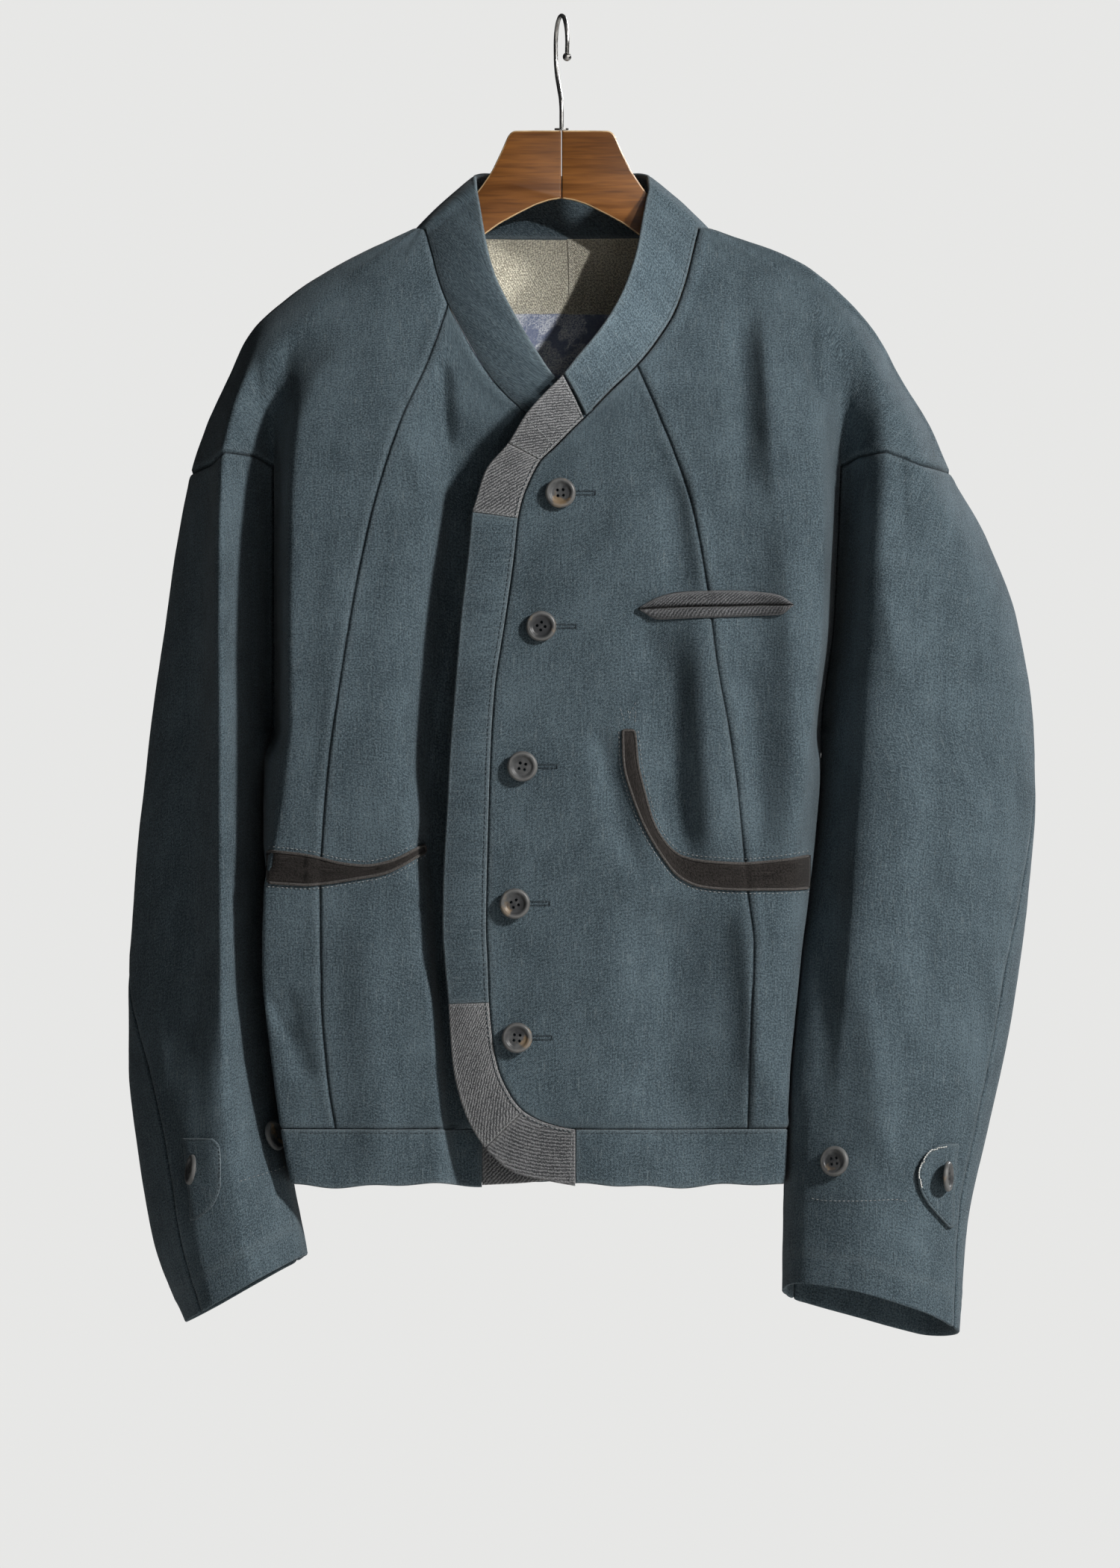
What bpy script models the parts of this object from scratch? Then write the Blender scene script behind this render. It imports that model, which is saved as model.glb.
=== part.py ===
"""Patched jacket of indigo twill, hanging unlined on a two-piece wooden hanger.

Front of the jacket faces -Y and +Z is up. The origin is where the hanger's hook bears on a rail.
"right" and "left" are the wearer's: the right front lies under the left front.

The cloth is worked out from horizontal sections. Each section runs through named stations, from the
band seam of the right front, round the right sleeve, across the back and round the left sleeve to the
band seam of the left front. Below the underarm the body and the two sleeves have sections of their own.
Every table is in millimetres; x is measured outward from the centre line and d forward of the hanger.
"""
import math

import bmesh
import bpy
import numpy as np
from mathutils import Matrix, Vector

MM = 0.001
CLOTH = 1.6              # one layer of twill
DOUBLE = 2.2             # neckband, front bands and hem band
LINING = 1.0             # neck facing, mottled patch and pocket facings
GAP = 0.44               # between neighbouring pieces at a seam
WALL_GAP = 0.4           # between the body's wall and the sleeve's, each way, where they part
SIDES = {"right": -1, "left": 1}

ARMHOLE = -296.0         # level of the dropped shoulder's seam, over the sleeve
UNDERARM = -468.0        # level where body and sleeves part
HEM_SEAM = -731.0
HEM = -768.0
NECK_SEAM = -141.0       # back neck

# Front of the body: seam_d is the depth at the band seam; lap, front, chest and valley are stations.
# Below the underarm the valley becomes the front of the side wall.
CHEST_COLUMNS = "z seam_d lap_x lap_d front_x front_d chest_x chest_d valley_x valley_d".split()
CHEST = {
    "right": [
        (-138, 3, 90.8, 3, 91.5, 3, 92.2, 2, 93, 2),
        (-160, 18, 92, 17.5, 99, 17, 109, 15, 122, 12),
        (-182, 28, 90, 27.5, 104, 27, 122, 25, 145, 20),
        (-208, 39, 84, 40, 108, 40, 136, 38, 169, 31),
        (-239, 50, 80, 52, 112, 56, 158, 53, 187, 34),
        (-270, 56, 74, 55, 106, 67, 171, 64, 190, 26),
        (-300, 57, 66, 55, 98, 73, 175, 70, 190, 18),
        (-345, 58, 64, 55, 92, 78, 176, 76, 190, 10),
        (-400, 60, 68, 56, 97, 82, 177, 80, 190, 4),
        (-468, 62, 74, 57, 103, 86, 177, 82, 190, 0),
        (-490, 62, 75, 57, 103, 86, 178, 82, 195.5, 28),
        (-540, 62, 76, 58, 103, 87, 187, 80, 196, 33),
        (-575, 62, 76, 60, 98, 86, 195, 79, 193, 22),
        (-620, 62, 76, 62, 92, 85, 196, 78, 188.5, 0),
        (-700, 62, 72, 66, 84, 83, 188.5, 76, 179, 2),
        (-768, 63, 66, 68, 82, 84, 177, 78, 171, 4)],
    "left": [
        (-138, 3, 91.2, 3, 91.8, 3, 92.4, 2, 93, 2),
        (-160, 18, 94, 18, 104, 17, 117, 15, 132, 11),
        (-182, 28, 94, 29, 112, 29, 132, 27, 155, 19),
        (-208, 41, 88, 45, 118, 46, 146, 42, 172, 32),
        (-239, 58, 76, 62, 120, 62, 158, 56, 184, 36),
        (-270, 70, 62, 74, 120, 74, 166, 66, 185, 28),
        (-300, 78, 50, 82, 116, 80, 168, 72, 184, 20),
        (-345, 84, 44, 88, 110, 84, 171, 76, 182, 12),
        (-400, 89, 40, 92, 106, 88, 170, 78, 179, 5),
        (-468, 93, 36, 95, 104, 90, 163, 80, 171, 0),
        (-490, 94, 35, 95.5, 103, 90, 160, 80, 170.5, 28),
        (-540, 94, 34, 96, 100, 89, 152, 80, 167, 34),
        (-620, 92, 30, 94, 92, 86, 139, 78, 157, 54),
        (-700, 91, 28, 92, 88, 84, 133, 78, 149.5, 64),
        (-768, 90, 28, 91, 86, 84, 131, 80, 146, 70)],
}
# Outside of the shoulder and upper sleeve, from the valley out to the edge.
ARM_COLUMNS = "z inner_x inner_d ridge_x ridge_d dip_x dip_d edge_x edge_d".split()
ARM = {
    "right": [
        (-138, 93.4, 1, 94, 0.6, 94.6, 0.3, 96, 0),
        (-160, 128, 9, 133, 7, 138, 4, 142, -1),
        (-182, 154, 17, 163, 13, 171, 8, 177, -2),
        (-208, 181, 28, 190, 23, 198, 15, 205, -2),
        (-239, 198, 36, 207, 36, 214, 24, 220, -2),
        (-270, 200, 38, 217, 48, 225, 32, 234, -2),
        (-300, 201, 34, 222, 56, 231, 36, 244, -2),
        (-345, 202, 30, 224, 62, 234, 38, 253, -3),
        (-400, 202, 26, 224, 65, 236, 40, 261, -3),
        (-468, 202, 26, 223, 66, 238, 42, 271, -4)],
    "left": [
        (-138, 93.6, 1, 94.4, 0.6, 95, 0.3, 96, 0),
        (-160, 139, 8, 145, 6, 150, 3.5, 155, -1),
        (-182, 164, 16, 172, 12, 178, 7, 184, -2),
        (-208, 182, 28, 191, 24, 199, 16, 207, -2),
        (-239, 195, 36, 206, 38, 215, 28, 224, -2),
        (-270, 196, 38, 212, 50, 228, 40, 243, -2),
        (-300, 195, 34, 214, 56, 237, 47, 256, -3),
        (-345, 191, 30, 214, 60, 252, 48, 281, -4),
        (-400, 187, 28, 217, 62, 262, 48, 301, -5),
        (-468, 180, 28, 223, 63, 268, 48, 311, -6)],
}
# Back of the sleeve head and of the body; these depths are behind the hanger.
BACK_COLUMNS = "z rear_x rear_b fold_x fold_b blade_x blade_b centre_b".split()
BACK = {
    "right": [
        (-138, 92, 6, 83, 18, 62, 34, 44),
        (-160, 134, 9, 122, 20, 84, 38, 48),
        (-182, 168, 14, 150, 28, 94, 44, 52),
        (-208, 195, 18, 174, 36, 104, 50, 56),
        (-239, 210, 26, 188, 40, 114, 56, 60),
        (-270, 222, 34, 194, 40, 122, 60, 63),
        (-300, 228, 42, 197, 37, 128, 63, 65),
        (-345, 236, 48, 197, 33, 134, 66, 68),
        (-400, 242, 52, 196, 30, 138, 69, 71),
        (-468, 248, 55, 193, 30, 142, 72, 74),
        (-490, 0, 0, 187, 32, 144, 73, 75),
        (-540, 0, 0, 186, 36, 148, 74, 76),
        (-620, 0, 0, 187, 38, 148, 75, 77),
        (-700, 0, 0, 182, 38, 146, 76, 78),
        (-768, 0, 0, 174, 38, 142, 77, 79)],
    "left": [
        (-138, 92, 6, 83, 18, 62, 34, 44),
        (-160, 146, 9, 130, 20, 84, 38, 48),
        (-182, 175, 14, 156, 28, 94, 44, 52),
        (-208, 198, 18, 176, 36, 104, 50, 56),
        (-239, 214, 26, 188, 40, 114, 56, 60),
        (-270, 230, 34, 192, 40, 122, 60, 63),
        (-300, 240, 42, 192, 37, 128, 63, 65),
        (-345, 256, 46, 190, 33, 132, 66, 68),
        (-400, 270, 48, 186, 30, 134, 69, 71),
        (-468, 278, 48, 176, 30, 134, 72, 74),
        (-490, 0, 0, 167, 32, 135, 73, 75),
        (-540, 0, 0, 160, 36, 136, 74, 76),
        (-620, 0, 0, 150, 38, 132, 75, 77),
        (-700, 0, 0, 143.5, 38, 128, 76, 78),
        (-768, 0, 0, 140, 38, 124, 77, 79)],
}
# Sleeves below the underarm. under_x is the wall beside the body; swing carries the section forward;
# tilt_x and tilt_d lean the section, outward and forward, as it nears the cuff.
SLEEVE_COLUMNS = ("z under_x inner_x inner_d ridge_x ridge_d dip_x dip_d edge_x edge_d rear_x rear_d "
                  "swing tilt_x tilt_d").split()
SLEEVE = {
    "right": [
        (-505, 197.0, 203, 30, 223, 66, 240, 44, 275, -4, 248, -58, 0, 0, 0),
        (-578, 195.0, 203, 32, 222, 67, 240, 46, 282, -4, 250, -60, 2, 0, 0),
        (-645, 192.0, 201, 32, 222, 66, 241, 48, 285, -4, 250, -60, 8, 0, 0),
        (-690, 189.5, 199, 32, 222, 64, 242, 50, 285, -3, 248, -56, 16, 0, 0),
        (-735, 185.0, 196, 31, 220, 60, 241, 50, 279, -2, 242, -50, 30, -0.10, 0),
        (-785, 176.5, 188, 30, 214, 54, 237, 48, 268, 0, 232, -44, 44, -0.34, 0),
        (-830, 168.5, 180, 28, 206, 48, 228, 44, 247, 2, 218, -40, 52, -0.56, 0.05)],
    "left": [
        (-513, 170.5, 182, 32, 224, 63, 270, 48, 312, -4, 282, -46, 6, 0, 0),
        (-580, 162.0, 174, 35, 220, 63, 267, 48, 307, -4, 276, -44, 16, 0, 0),
        (-652, 154.5, 166, 36, 213, 60, 259, 46, 297, -3, 266, -42, 30, 0, 0),
        (-723, 149.5, 161, 35, 205, 55, 247, 43, 281, -2, 252, -40, 44, -0.06, 0.04),
        (-785, 147.5, 158, 33, 201, 50, 238, 39, 266, 0, 240, -38, 53, -0.14, 0.14),
        (-845, 146.5, 157, 32, 199, 46, 235, 36, 261, 0, 234, -36, 58, -0.24, 0.24)],
}
# Band round the neck and down the fronts: its seam, its free edge and how far the edge stands forward
# of the seam. The right front repeats the left front's run where the overlap hides it.
BAND_COLUMNS = "seam_x seam_z edge_x edge_z rise".split()
NECK = {
    "right": [
        (90.0, -138, 56.0, -112, 3), (86.0, -152, 53.0, -130, 6), (80.5, -173, 49.5, -150, 8),
        (74.5, -189, 44.0, -170, 9), (66.0, -205, 35.0, -189, 10), (56.0, -223, 25.5, -206, 9),
        (43.0, -242, 15.0, -223, 7), (27.0, -258, 5.0, -237, 4)],
    "left": [
        (90.6, -138, 57.5, -112, 3), (87.0, -153, 54.0, -130, 6), (82.0, -173, 50.0, -152, 8),
        (74.5, -194, 42.5, -176, 9), (63.0, -213, 33.0, -195, 10), (49.5, -230, 22.0, -211, 10),
        (34.0, -245, 12.0, -223, 9), (14.7, -265, 1.0, -237, 8)],
}
FRONT_EDGE = [
    (5.4, -274, -13.0, -251, 8), (-4.4, -284, -24.0, -264, 8), (-13.7, -293, -35.0, -282, 7),
    (-19.5, -303, -50.0, -300, 5), (-26.5, -321, -56.0, -319, 3), (-28.6, -331, -58.5, -327, 2),
    (-31.0, -354, -61.0, -352, 1), (-37.0, -397, -66.0, -396, 0), (-44.0, -444, -70.0, -444, -1),
    (-46.5, -482, -73.0, -482, -2), (-48.0, -529, -75.5, -529, -2), (-49.0, -566, -77.5, -566, -2),
    (-49.5, -598, -78.0, -598, -2), (-48.5, -622, -76.5, -623, -2), (-47.5, -648, -74.0, -649, -1)]
CORNER = {
    "left": [(-45.6, -670, -73.0, -668, -1), (-42.0, -690, -71.0, -690, 0), (-34.0, -708, -64.5, -717, 0),
             (-25.0, -719, -50.0, -743, 0), (-12.0, -726, -30.0, -759.5, 0), (-1.5, -729, -10.0, -764.5, 0),
             (9.0, -731, 9.0, -768, 0)],
    "right": [(-45.6, -670, -73.0, -668, -1), (-41.0, -690, -70.0, -692, 0), (-30.0, -708, -60.0, -722, 0),
              (-14.0, -719, -38.0, -748, 0), (8.0, -726, -10.0, -761, 0), (30.0, -729.5, 24.0, -766.5, 0),
              (52.0, -731, 52.0, -768, 0)],
}
# Seam from the neck down each front, over the pockets, to the hem.
PRINCESS = {
    "right": [(74.5, -189), (89, -230), (107, -270), (126, -333), (144, -431), (154, -505), (158, -571),
              (157.5, -640), (153, -700), (148, -731)],
    "left": [(49.5, -230), (63, -261), (75, -291), (85, -321), (96, -380), (103, -430), (112, -480),
             (118, -530), (122, -577), (126, -610), (124, -660), (122, -731)],
}
# Back seam of each sleeve as a station: 4 is the outer edge, more is behind it, less is in front.
BACK_SEAM = {"right": [(-296, 4.5), (-560, 4.5), (-630, 4.0), (-700, 3.55), (-760, 3.4), (-830, 3.35)],
             "left": [(-296, 4.5), (-430, 4.3), (-490, 4.0), (-570, 3.75), (-640, 3.6), (-720, 3.6), (-845, 3.7)]}
# Largest folds: a line from (x, z) to (x, z), its half width and how far it stands out (or sinks in).
FOLD_COLUMNS = "x_top z_top x_low z_low half out".split()
FOLDS = {
    "left": [
        (124, -188, 125, -290, 11, -3.5), (162, -204, 168, -252, 9, -3.0), (71, -300, 80, -385, 14, -4.0),
        (74, -418, 80, -560, 15, -6.0), (96, -575, 100, -765, 34, -5.0), (22, -470, 52, -565, 13, -3.0),
        (118, -585, 130, -700, 12, 4.0), (246, -470, 240, -640, 16, -4.0), (200, -640, 214, -760, 14, 3.5)],
    "right": [
        (78, -228, 76, -285, 8, -2.5), (180, -640, 168, -700, 10, -3.5), (128, -590, 120, -760, 20, 4.0)]}

ROWS_TOP = [-141, -145, -151, -159, -169, -181, -194, -208, -224, -242, -261, -279]
ROWS_ARM = [-296, -318, -344, -372, -402, -434]
ROWS_LOW = [-468, -492, -520, -550, -580, -612, -648, -670, -690, -708, -719, -726]
SLEEVE_ROWS = [-492, -520, -550, -580, -614, -650, -685, -718, -750, -785]


def pchip(t, v, q):
    """Shape-preserving cubic through v (rows at t): it never passes a table's values."""
    t, v, q = np.asarray(t, float), np.asarray(v, float), np.asarray(q, float)
    if t[0] > t[-1]:
        t, v = t[::-1], v[::-1]
    h = np.diff(t).reshape((-1,) + (1,) * (v.ndim - 1))
    rate = np.diff(v, axis=0) / h
    slope = np.empty_like(v)
    slope[0], slope[-1] = rate[0], rate[-1]
    a, b = rate[:-1], rate[1:]
    w1, w2 = 2 * h[1:] + h[:-1], h[1:] + 2 * h[:-1]
    same = a * b > 0
    slope[1:-1] = np.where(same, (w1 + w2) / (w1 / np.where(same, a, 1) + w2 / np.where(same, b, 1)), 0)
    k = np.clip(np.searchsorted(t, q, side="right") - 1, 0, len(t) - 2)
    u = np.clip((q - t[k]) / (t[k + 1] - t[k]), 0, 1).reshape(q.shape + (1,) * (v.ndim - 1))
    step = (t[k + 1] - t[k]).reshape(u.shape)
    return ((2 * u ** 3 - 3 * u ** 2 + 1) * v[k] + (u ** 3 - 2 * u ** 2 + u) * step * slope[k]
            + (3 * u ** 2 - 2 * u ** 3) * v[k + 1] + (u ** 3 - u ** 2) * step * slope[k + 1])


def columns(rows, names, z):
    """Each named column of a table at the levels z."""
    rows = np.array(rows, float)
    return dict(zip(names, pchip(rows[:, 0], rows, z).T))


def band_rows(side):
    return np.array(NECK[side] + FRONT_EDGE + CORNER[side], float)


def seam_x(side, z):
    """Where the band is sewn to the front, at the levels z."""
    rows = band_rows(side)
    return pchip(rows[:, 1], rows[:, 0], z)


def along(stations, s):
    """Points at the station numbers s (a row for each section) of a smooth curve through the stations."""
    t = np.arange(stations.shape[1], dtype=float)
    return np.array([pchip(t, row, np.asarray(q)) for row, q in zip(stations, s)])


def upper_stations(z):
    """Sections above the underarm: 25 stations from the right band seam round to the left one."""
    half = {}
    for side, sign in SIDES.items():
        c = columns(CHEST[side], CHEST_COLUMNS, z)
        a = columns(ARM[side], ARM_COLUMNS, z)
        b = columns(BACK[side], BACK_COLUMNS, z)
        pairs = [(seam_x(side, z), c["seam_d"]), (c["lap_x"], c["lap_d"]), (c["front_x"], c["front_d"]),
                 (c["chest_x"], c["chest_d"]), (c["valley_x"], c["valley_d"]), (a["inner_x"], a["inner_d"]),
                 (a["ridge_x"], a["ridge_d"]), (a["dip_x"], a["dip_d"]), (a["edge_x"], a["edge_d"]),
                 (b["rear_x"], -b["rear_b"]), (b["fold_x"], -b["fold_b"]), (b["blade_x"], -b["blade_b"])]
        half[side] = [np.stack([sign * x, d], -1) for x, d in pairs]
        centre = np.stack([0 * z, -b["centre_b"]], -1)
    return np.stack(half["right"] + [centre] + half["left"][::-1], 1)


def lower_stations(z):
    """Sections of the body below the underarm: 17 stations, with a side seam on each side."""
    half = {}
    for side, sign in SIDES.items():
        c = columns(CHEST[side], CHEST_COLUMNS, z)
        b = columns(BACK[side], BACK_COLUMNS, z)
        side_x = 0.5 * (c["valley_x"] + b["fold_x"]) - 2 * WALL_GAP
        pairs = [(seam_x(side, z), c["seam_d"]), (c["lap_x"], c["lap_d"]), (c["front_x"], c["front_d"]),
                 (c["chest_x"], c["chest_d"]), (c["valley_x"] - WALL_GAP, c["valley_d"]),
                 (side_x, 0.5 * (c["valley_d"] - b["fold_b"])), (b["fold_x"] - WALL_GAP, -b["fold_b"]),
                 (b["blade_x"], -b["blade_b"])]
        half[side] = [np.stack([sign * x, d], -1) for x, d in pairs]
        centre = np.stack([0 * z, -b["centre_b"]], -1)
    return np.stack(half["right"] + [centre] + half["left"][::-1], 1)


def fold_depth(side, x, z):
    """How far one side's large folds push the cloth outward at (x, z), x outward."""
    out = np.zeros(np.broadcast(x, z).shape)
    for row in FOLDS[side]:
        f = dict(zip(FOLD_COLUMNS, row))
        run = (z - f["z_top"]) / (f["z_low"] - f["z_top"])
        across = (x - (f["x_top"] + np.clip(run, 0, 1) * (f["x_low"] - f["x_top"]))) / f["half"]
        fade = np.clip(np.minimum(run, 1 - run) * 4 + 0.35, 0, 1)
        out += f["out"] * np.exp(-1.6 * across ** 2) * fade * fade * (3 - 2 * fade)
    return out


def to_space(xd, z, right):
    """(x, d) pairs at the levels z as points, on the right side where right is true; folds act on
    what faces forward."""
    x, d = xd[..., 0], xd[..., 1]
    front = np.clip((d - 20) / 30, 0, 1)
    fold = np.where(right, fold_depth("right", -x, z), fold_depth("left", x, z))
    return np.stack([x, -(d + front * fold), z + 0 * x], -1)


def torso(z, s):
    """Points of the body at levels z and station numbers s, one row of s for each level."""
    z, s = np.asarray(z, float), np.asarray(s, float)
    out = np.empty(s.shape + (3,))
    for upper, stations, centre in ((True, upper_stations, 12), (False, lower_stations, 8)):
        pick = (z >= UNDERARM) == upper
        if pick.any():
            out[pick] = to_space(along(stations(z[pick]), s[pick]), z[pick][:, None], s[pick] < centre)
    return out


def sleeve_stations(side, z):
    """Closed sections of a sleeve below the underarm: valley, inner, ridge, dip, edge, rear, fold, under."""
    top = np.array([UNDERARM])
    a, c = columns(ARM[side], ARM_COLUMNS, top), columns(CHEST[side], CHEST_COLUMNS, top)
    b = columns(BACK[side], BACK_COLUMNS, top)
    first = [c["valley_x"] + WALL_GAP, c["valley_d"], a["inner_x"], a["inner_d"], a["ridge_x"], a["ridge_d"],
             a["dip_x"], a["dip_d"], a["edge_x"], a["edge_d"], b["rear_x"], -b["rear_b"],
             b["fold_x"] + WALL_GAP, -b["fold_b"], 0.5 * (c["valley_x"] + b["fold_x"]) + 2 * WALL_GAP,
             0.5 * (c["valley_d"] - b["fold_b"]), 0 * top, 0 * top]
    rows, levels = [np.concatenate(first)], [UNDERARM]
    for row in SLEEVE[side]:
        r = dict(zip(SLEEVE_COLUMNS, row))
        front_d, back_d = r["inner_d"] - 20 + r["swing"], r["rear_d"] + 16 + r["swing"]
        rows.append(np.array([
            r["under_x"] + 2.0, front_d, r["inner_x"], r["inner_d"] + r["swing"],
            r["ridge_x"], r["ridge_d"] + r["swing"], r["dip_x"], r["dip_d"] + r["swing"],
            r["edge_x"], r["edge_d"] + r["swing"], r["rear_x"], r["rear_d"] + r["swing"],
            r["under_x"] + 9, back_d, r["under_x"], 0.5 * (front_d + back_d), r["tilt_x"], r["tilt_d"]]))
        levels.append(r["z"])
    at = pchip(levels, np.array(rows), z)
    return at[:, :16].reshape(len(z), 8, 2), at[:, 16], at[:, 17]


def sleeve(side, z, q):
    """Points of a sleeve at levels z and station numbers q: 0 valley to 6 back fold, 7 under the arm."""
    z, q = np.asarray(z, float), np.asarray(q, float)
    out = np.empty(q.shape + (3,))
    up = z >= UNDERARM
    if up.any():
        s = 4 + q[up] if side == "right" else 20 - q[up]
        out[up] = torso(z[up], s)
    if (~up).any():
        ring, tilt_x, tilt_d = sleeve_stations(side, z[~up])
        ring = np.concatenate([ring[:, -3:], ring, ring[:, :4]], 1)
        xd = along(ring, q[~up] + 3)
        mid = ring[:, 3:11].mean(1)
        level = z[~up][:, None] + (tilt_x[:, None] * (xd[..., 0] - mid[:, None, 0])
                                   + tilt_d[:, None] * (xd[..., 1] - mid[:, None, 1]))
        xd = xd * np.array([SIDES[side], 1])
        out[~up] = to_space(xd, level, side == "right")
    return out


def normals(form, z, s):
    """Unit normals of a form, outward, from small steps along and across it."""
    z, s = np.asarray(z, float), np.asarray(s, float)
    high, low = z + 0.5, z - 0.5
    near = np.abs(z - UNDERARM) < 0.5
    if near.any():
        high = np.where(near & (z < UNDERARM), z, high)
        low = np.where(near & (z >= UNDERARM), z, low)
    dz = form(high, s) - form(low, s)
    ds = form(z, s + 0.02) - form(z, s - 0.02)
    n = np.cross(dz, ds)
    return n / np.maximum(np.linalg.norm(n, axis=-1, keepdims=True), 1e-9)


def station_at(side, z, x):
    """Station number (0 to 4, from the band seam to the valley) where the front has the given x."""
    s = np.linspace(0, 4, 81)
    form = torso(z, np.tile(s if side == "right" else 24 - s, (len(z), 1))
                 if z[0] >= UNDERARM else np.tile(s if side == "right" else 16 - s, (len(z), 1)))
    return np.array([np.interp(v, row, s) for v, row in zip(x, form[..., 0] * SIDES[side])])


def front_station(side, z, x):
    """station_at for levels above and below the underarm together."""
    out = np.empty(len(z))
    for pick in (z >= UNDERARM, z < UNDERARM):
        if pick.any():
            out[pick] = station_at(side, z[pick], x[pick])
    return out


def front_index(side, z, s):
    """A front's station numbers as the torso's, which run on round the left side."""
    if side == "right":
        return s
    return np.where((z >= UNDERARM)[:, None], 24 - s, 16 - s)


# ---- building cloth -------------------------------------------------------------------------------

for old in list(bpy.data.objects):
    bpy.data.objects.remove(old, do_unlink=True)

jacket = bpy.data.collections.new("patched_jacket")
bpy.context.scene.collection.children.link(jacket)
root = bpy.data.objects.new("patched_jacket_root", None)
jacket.objects.link(root)


def material(name, colour, rough=0.9, metal=0.0):
    mat = bpy.data.materials.new(name)
    mat.use_nodes = True
    shader = mat.node_tree.nodes["Principled BSDF"]
    shader.inputs["Base Color"].default_value = (*colour, 1)
    shader.inputs["Roughness"].default_value = rough
    shader.inputs["Metallic"].default_value = metal
    return mat


INDIGO = material("indigo_twill", (0.075, 0.098, 0.115))
GREY = material("grey_twill", (0.13, 0.14, 0.145))
CREAM = material("cream_linen", (0.46, 0.42, 0.33))
MOTTLED = material("mottled_cotton", (0.34, 0.36, 0.39))
BROWN = material("brown_facing", (0.055, 0.045, 0.04))
HORN = material("grey_horn", (0.10, 0.09, 0.085), 0.4)
WOOD = material("red_brown_wood", (0.17, 0.055, 0.02), 0.45)
STEEL = material("steel_wire", (0.5, 0.5, 0.5), 0.3, 1.0)


def add_object(name, mesh, mat):
    obj = bpy.data.objects.new(name, mesh)
    obj.data.materials.append(mat)
    obj.parent = root
    jacket.objects.link(obj)
    return obj


def weld(points, faces):
    """Join points that coincide, as where a panel narrows to a tip."""
    keys, index, kept = {}, [], []
    for p in points:
        key = tuple(np.round(p, 2))
        if key not in keys:
            keys[key] = len(kept)
            kept.append(p)
        index.append(keys[key])
    out = []
    for f in faces:
        g = [index[i] for i in f]
        g = [v for k, v in enumerate(g) if v != g[k - 1]]
        if len(set(g)) >= 3:
            out.append(g)
    return np.array(kept), out, np.array([index.index(k) for k in range(len(kept))])


def rim_edges(faces):
    """Directed edges that only one face has."""
    seen = {}
    for f in faces:
        for a, b in zip(f, f[1:] + f[:1]):
            seen[(a, b)] = f
    return {e: f for e, f in seen.items() if (e[1], e[0]) not in seen}


def cloth(name, points, normal, faces, mat, thick=CLOTH, lift=0.0, gap=GAP):
    """A closed wall of cloth: its outside on the points, its inside a thickness within them."""
    shape = points.reshape(-1, 3)
    shape, faces, source = weld(shape, faces)
    normal = normal.reshape(-1, 3)[source]
    area = np.array([np.cross(shape[f[1]] - shape[f[0]], shape[f[-1]] - shape[f[0]]) for f in faces])
    if sum(np.dot(a, normal[f].mean(0)) for a, f in zip(area, faces)) < 0:
        faces = [f[::-1] for f in faces]
    rim = rim_edges(faces)
    inward = np.zeros_like(shape)
    for (a, b), f in rim.items():
        edge = shape[b] - shape[a]
        edge = edge / max(np.linalg.norm(edge), 1e-9)
        d = shape[f].mean(0) - (shape[a] + shape[b]) / 2
        d = d - np.dot(d, edge) * edge
        d = d / max(np.linalg.norm(d), 1e-9)
        inward[a] += d
        inward[b] += d
    size = np.linalg.norm(inward, axis=1, keepdims=True)
    shape = shape + np.where(size > 0.3, inward / np.maximum(size, 0.3) ** 2 * 2, 0) * gap / 2
    if np.ndim(thick):
        thick = np.asarray(thick).reshape(-1, 1)[source]
    outer, inner = shape + normal * lift, shape + normal * (lift - thick)
    n = len(shape)
    solid = [list(f) for f in faces] + [[i + n for i in f[::-1]] for f in faces]
    solid += [[b, a, a + n, b + n] for a, b in rim]
    mesh = bpy.data.meshes.new(name)
    mesh.from_pydata([Vector(p) * MM for p in np.concatenate([outer, inner])], [], solid)
    mesh.shade_smooth()
    mesh.set_sharp_from_angle(angle=math.radians(50))
    return add_object(name, mesh, mat)


def grid_faces(keep):
    """Quads of a grid of points, for the cells that are kept."""
    rows, cols = keep.shape[0] + 1, keep.shape[1] + 1
    return [[r * cols + c, r * cols + c + 1, (r + 1) * cols + c + 1, (r + 1) * cols + c]
            for r in range(rows - 1) for c in range(cols - 1) if keep[r, c]]


def cap_bump(q):
    """The armhole seam rises over the front of the sleeve and drops at its outer edge (q: 0 valley, 4 edge)."""
    return np.interp(q, [0, 1, 2, 3, 4, 6], [0, 6, 9, 1, -5, 0])


def cap_levels(z, q):
    """Levels bent so that the row at ARMHOLE follows the armhole seam."""
    weight = np.interp(z, [-345, ARMHOLE, -235], [0, 1, 0])
    return z[:, None] + weight[:, None] * cap_bump(q)


def below(z):
    """The same levels, with the underarm's own row counted as below it."""
    return np.where(z == UNDERARM, UNDERARM - 0.001, z)


def shoulder_thickness(levels):
    """The wall thins where the shoulder narrows to a tip beside the neck."""
    return np.interp(levels, [-152, NECK_SEAM], [CLOTH, 1.0])


def torso_at(z_grid, s):
    """torso for a grid whose level changes along each row."""
    flat = torso(z_grid.ravel(), s.reshape(-1, 1))
    return flat.reshape(s.shape + (3,))


def torso_normal(z_grid, s):
    return normals(torso, z_grid.ravel(), s.reshape(-1, 1)).reshape(s.shape + (3,))


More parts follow.
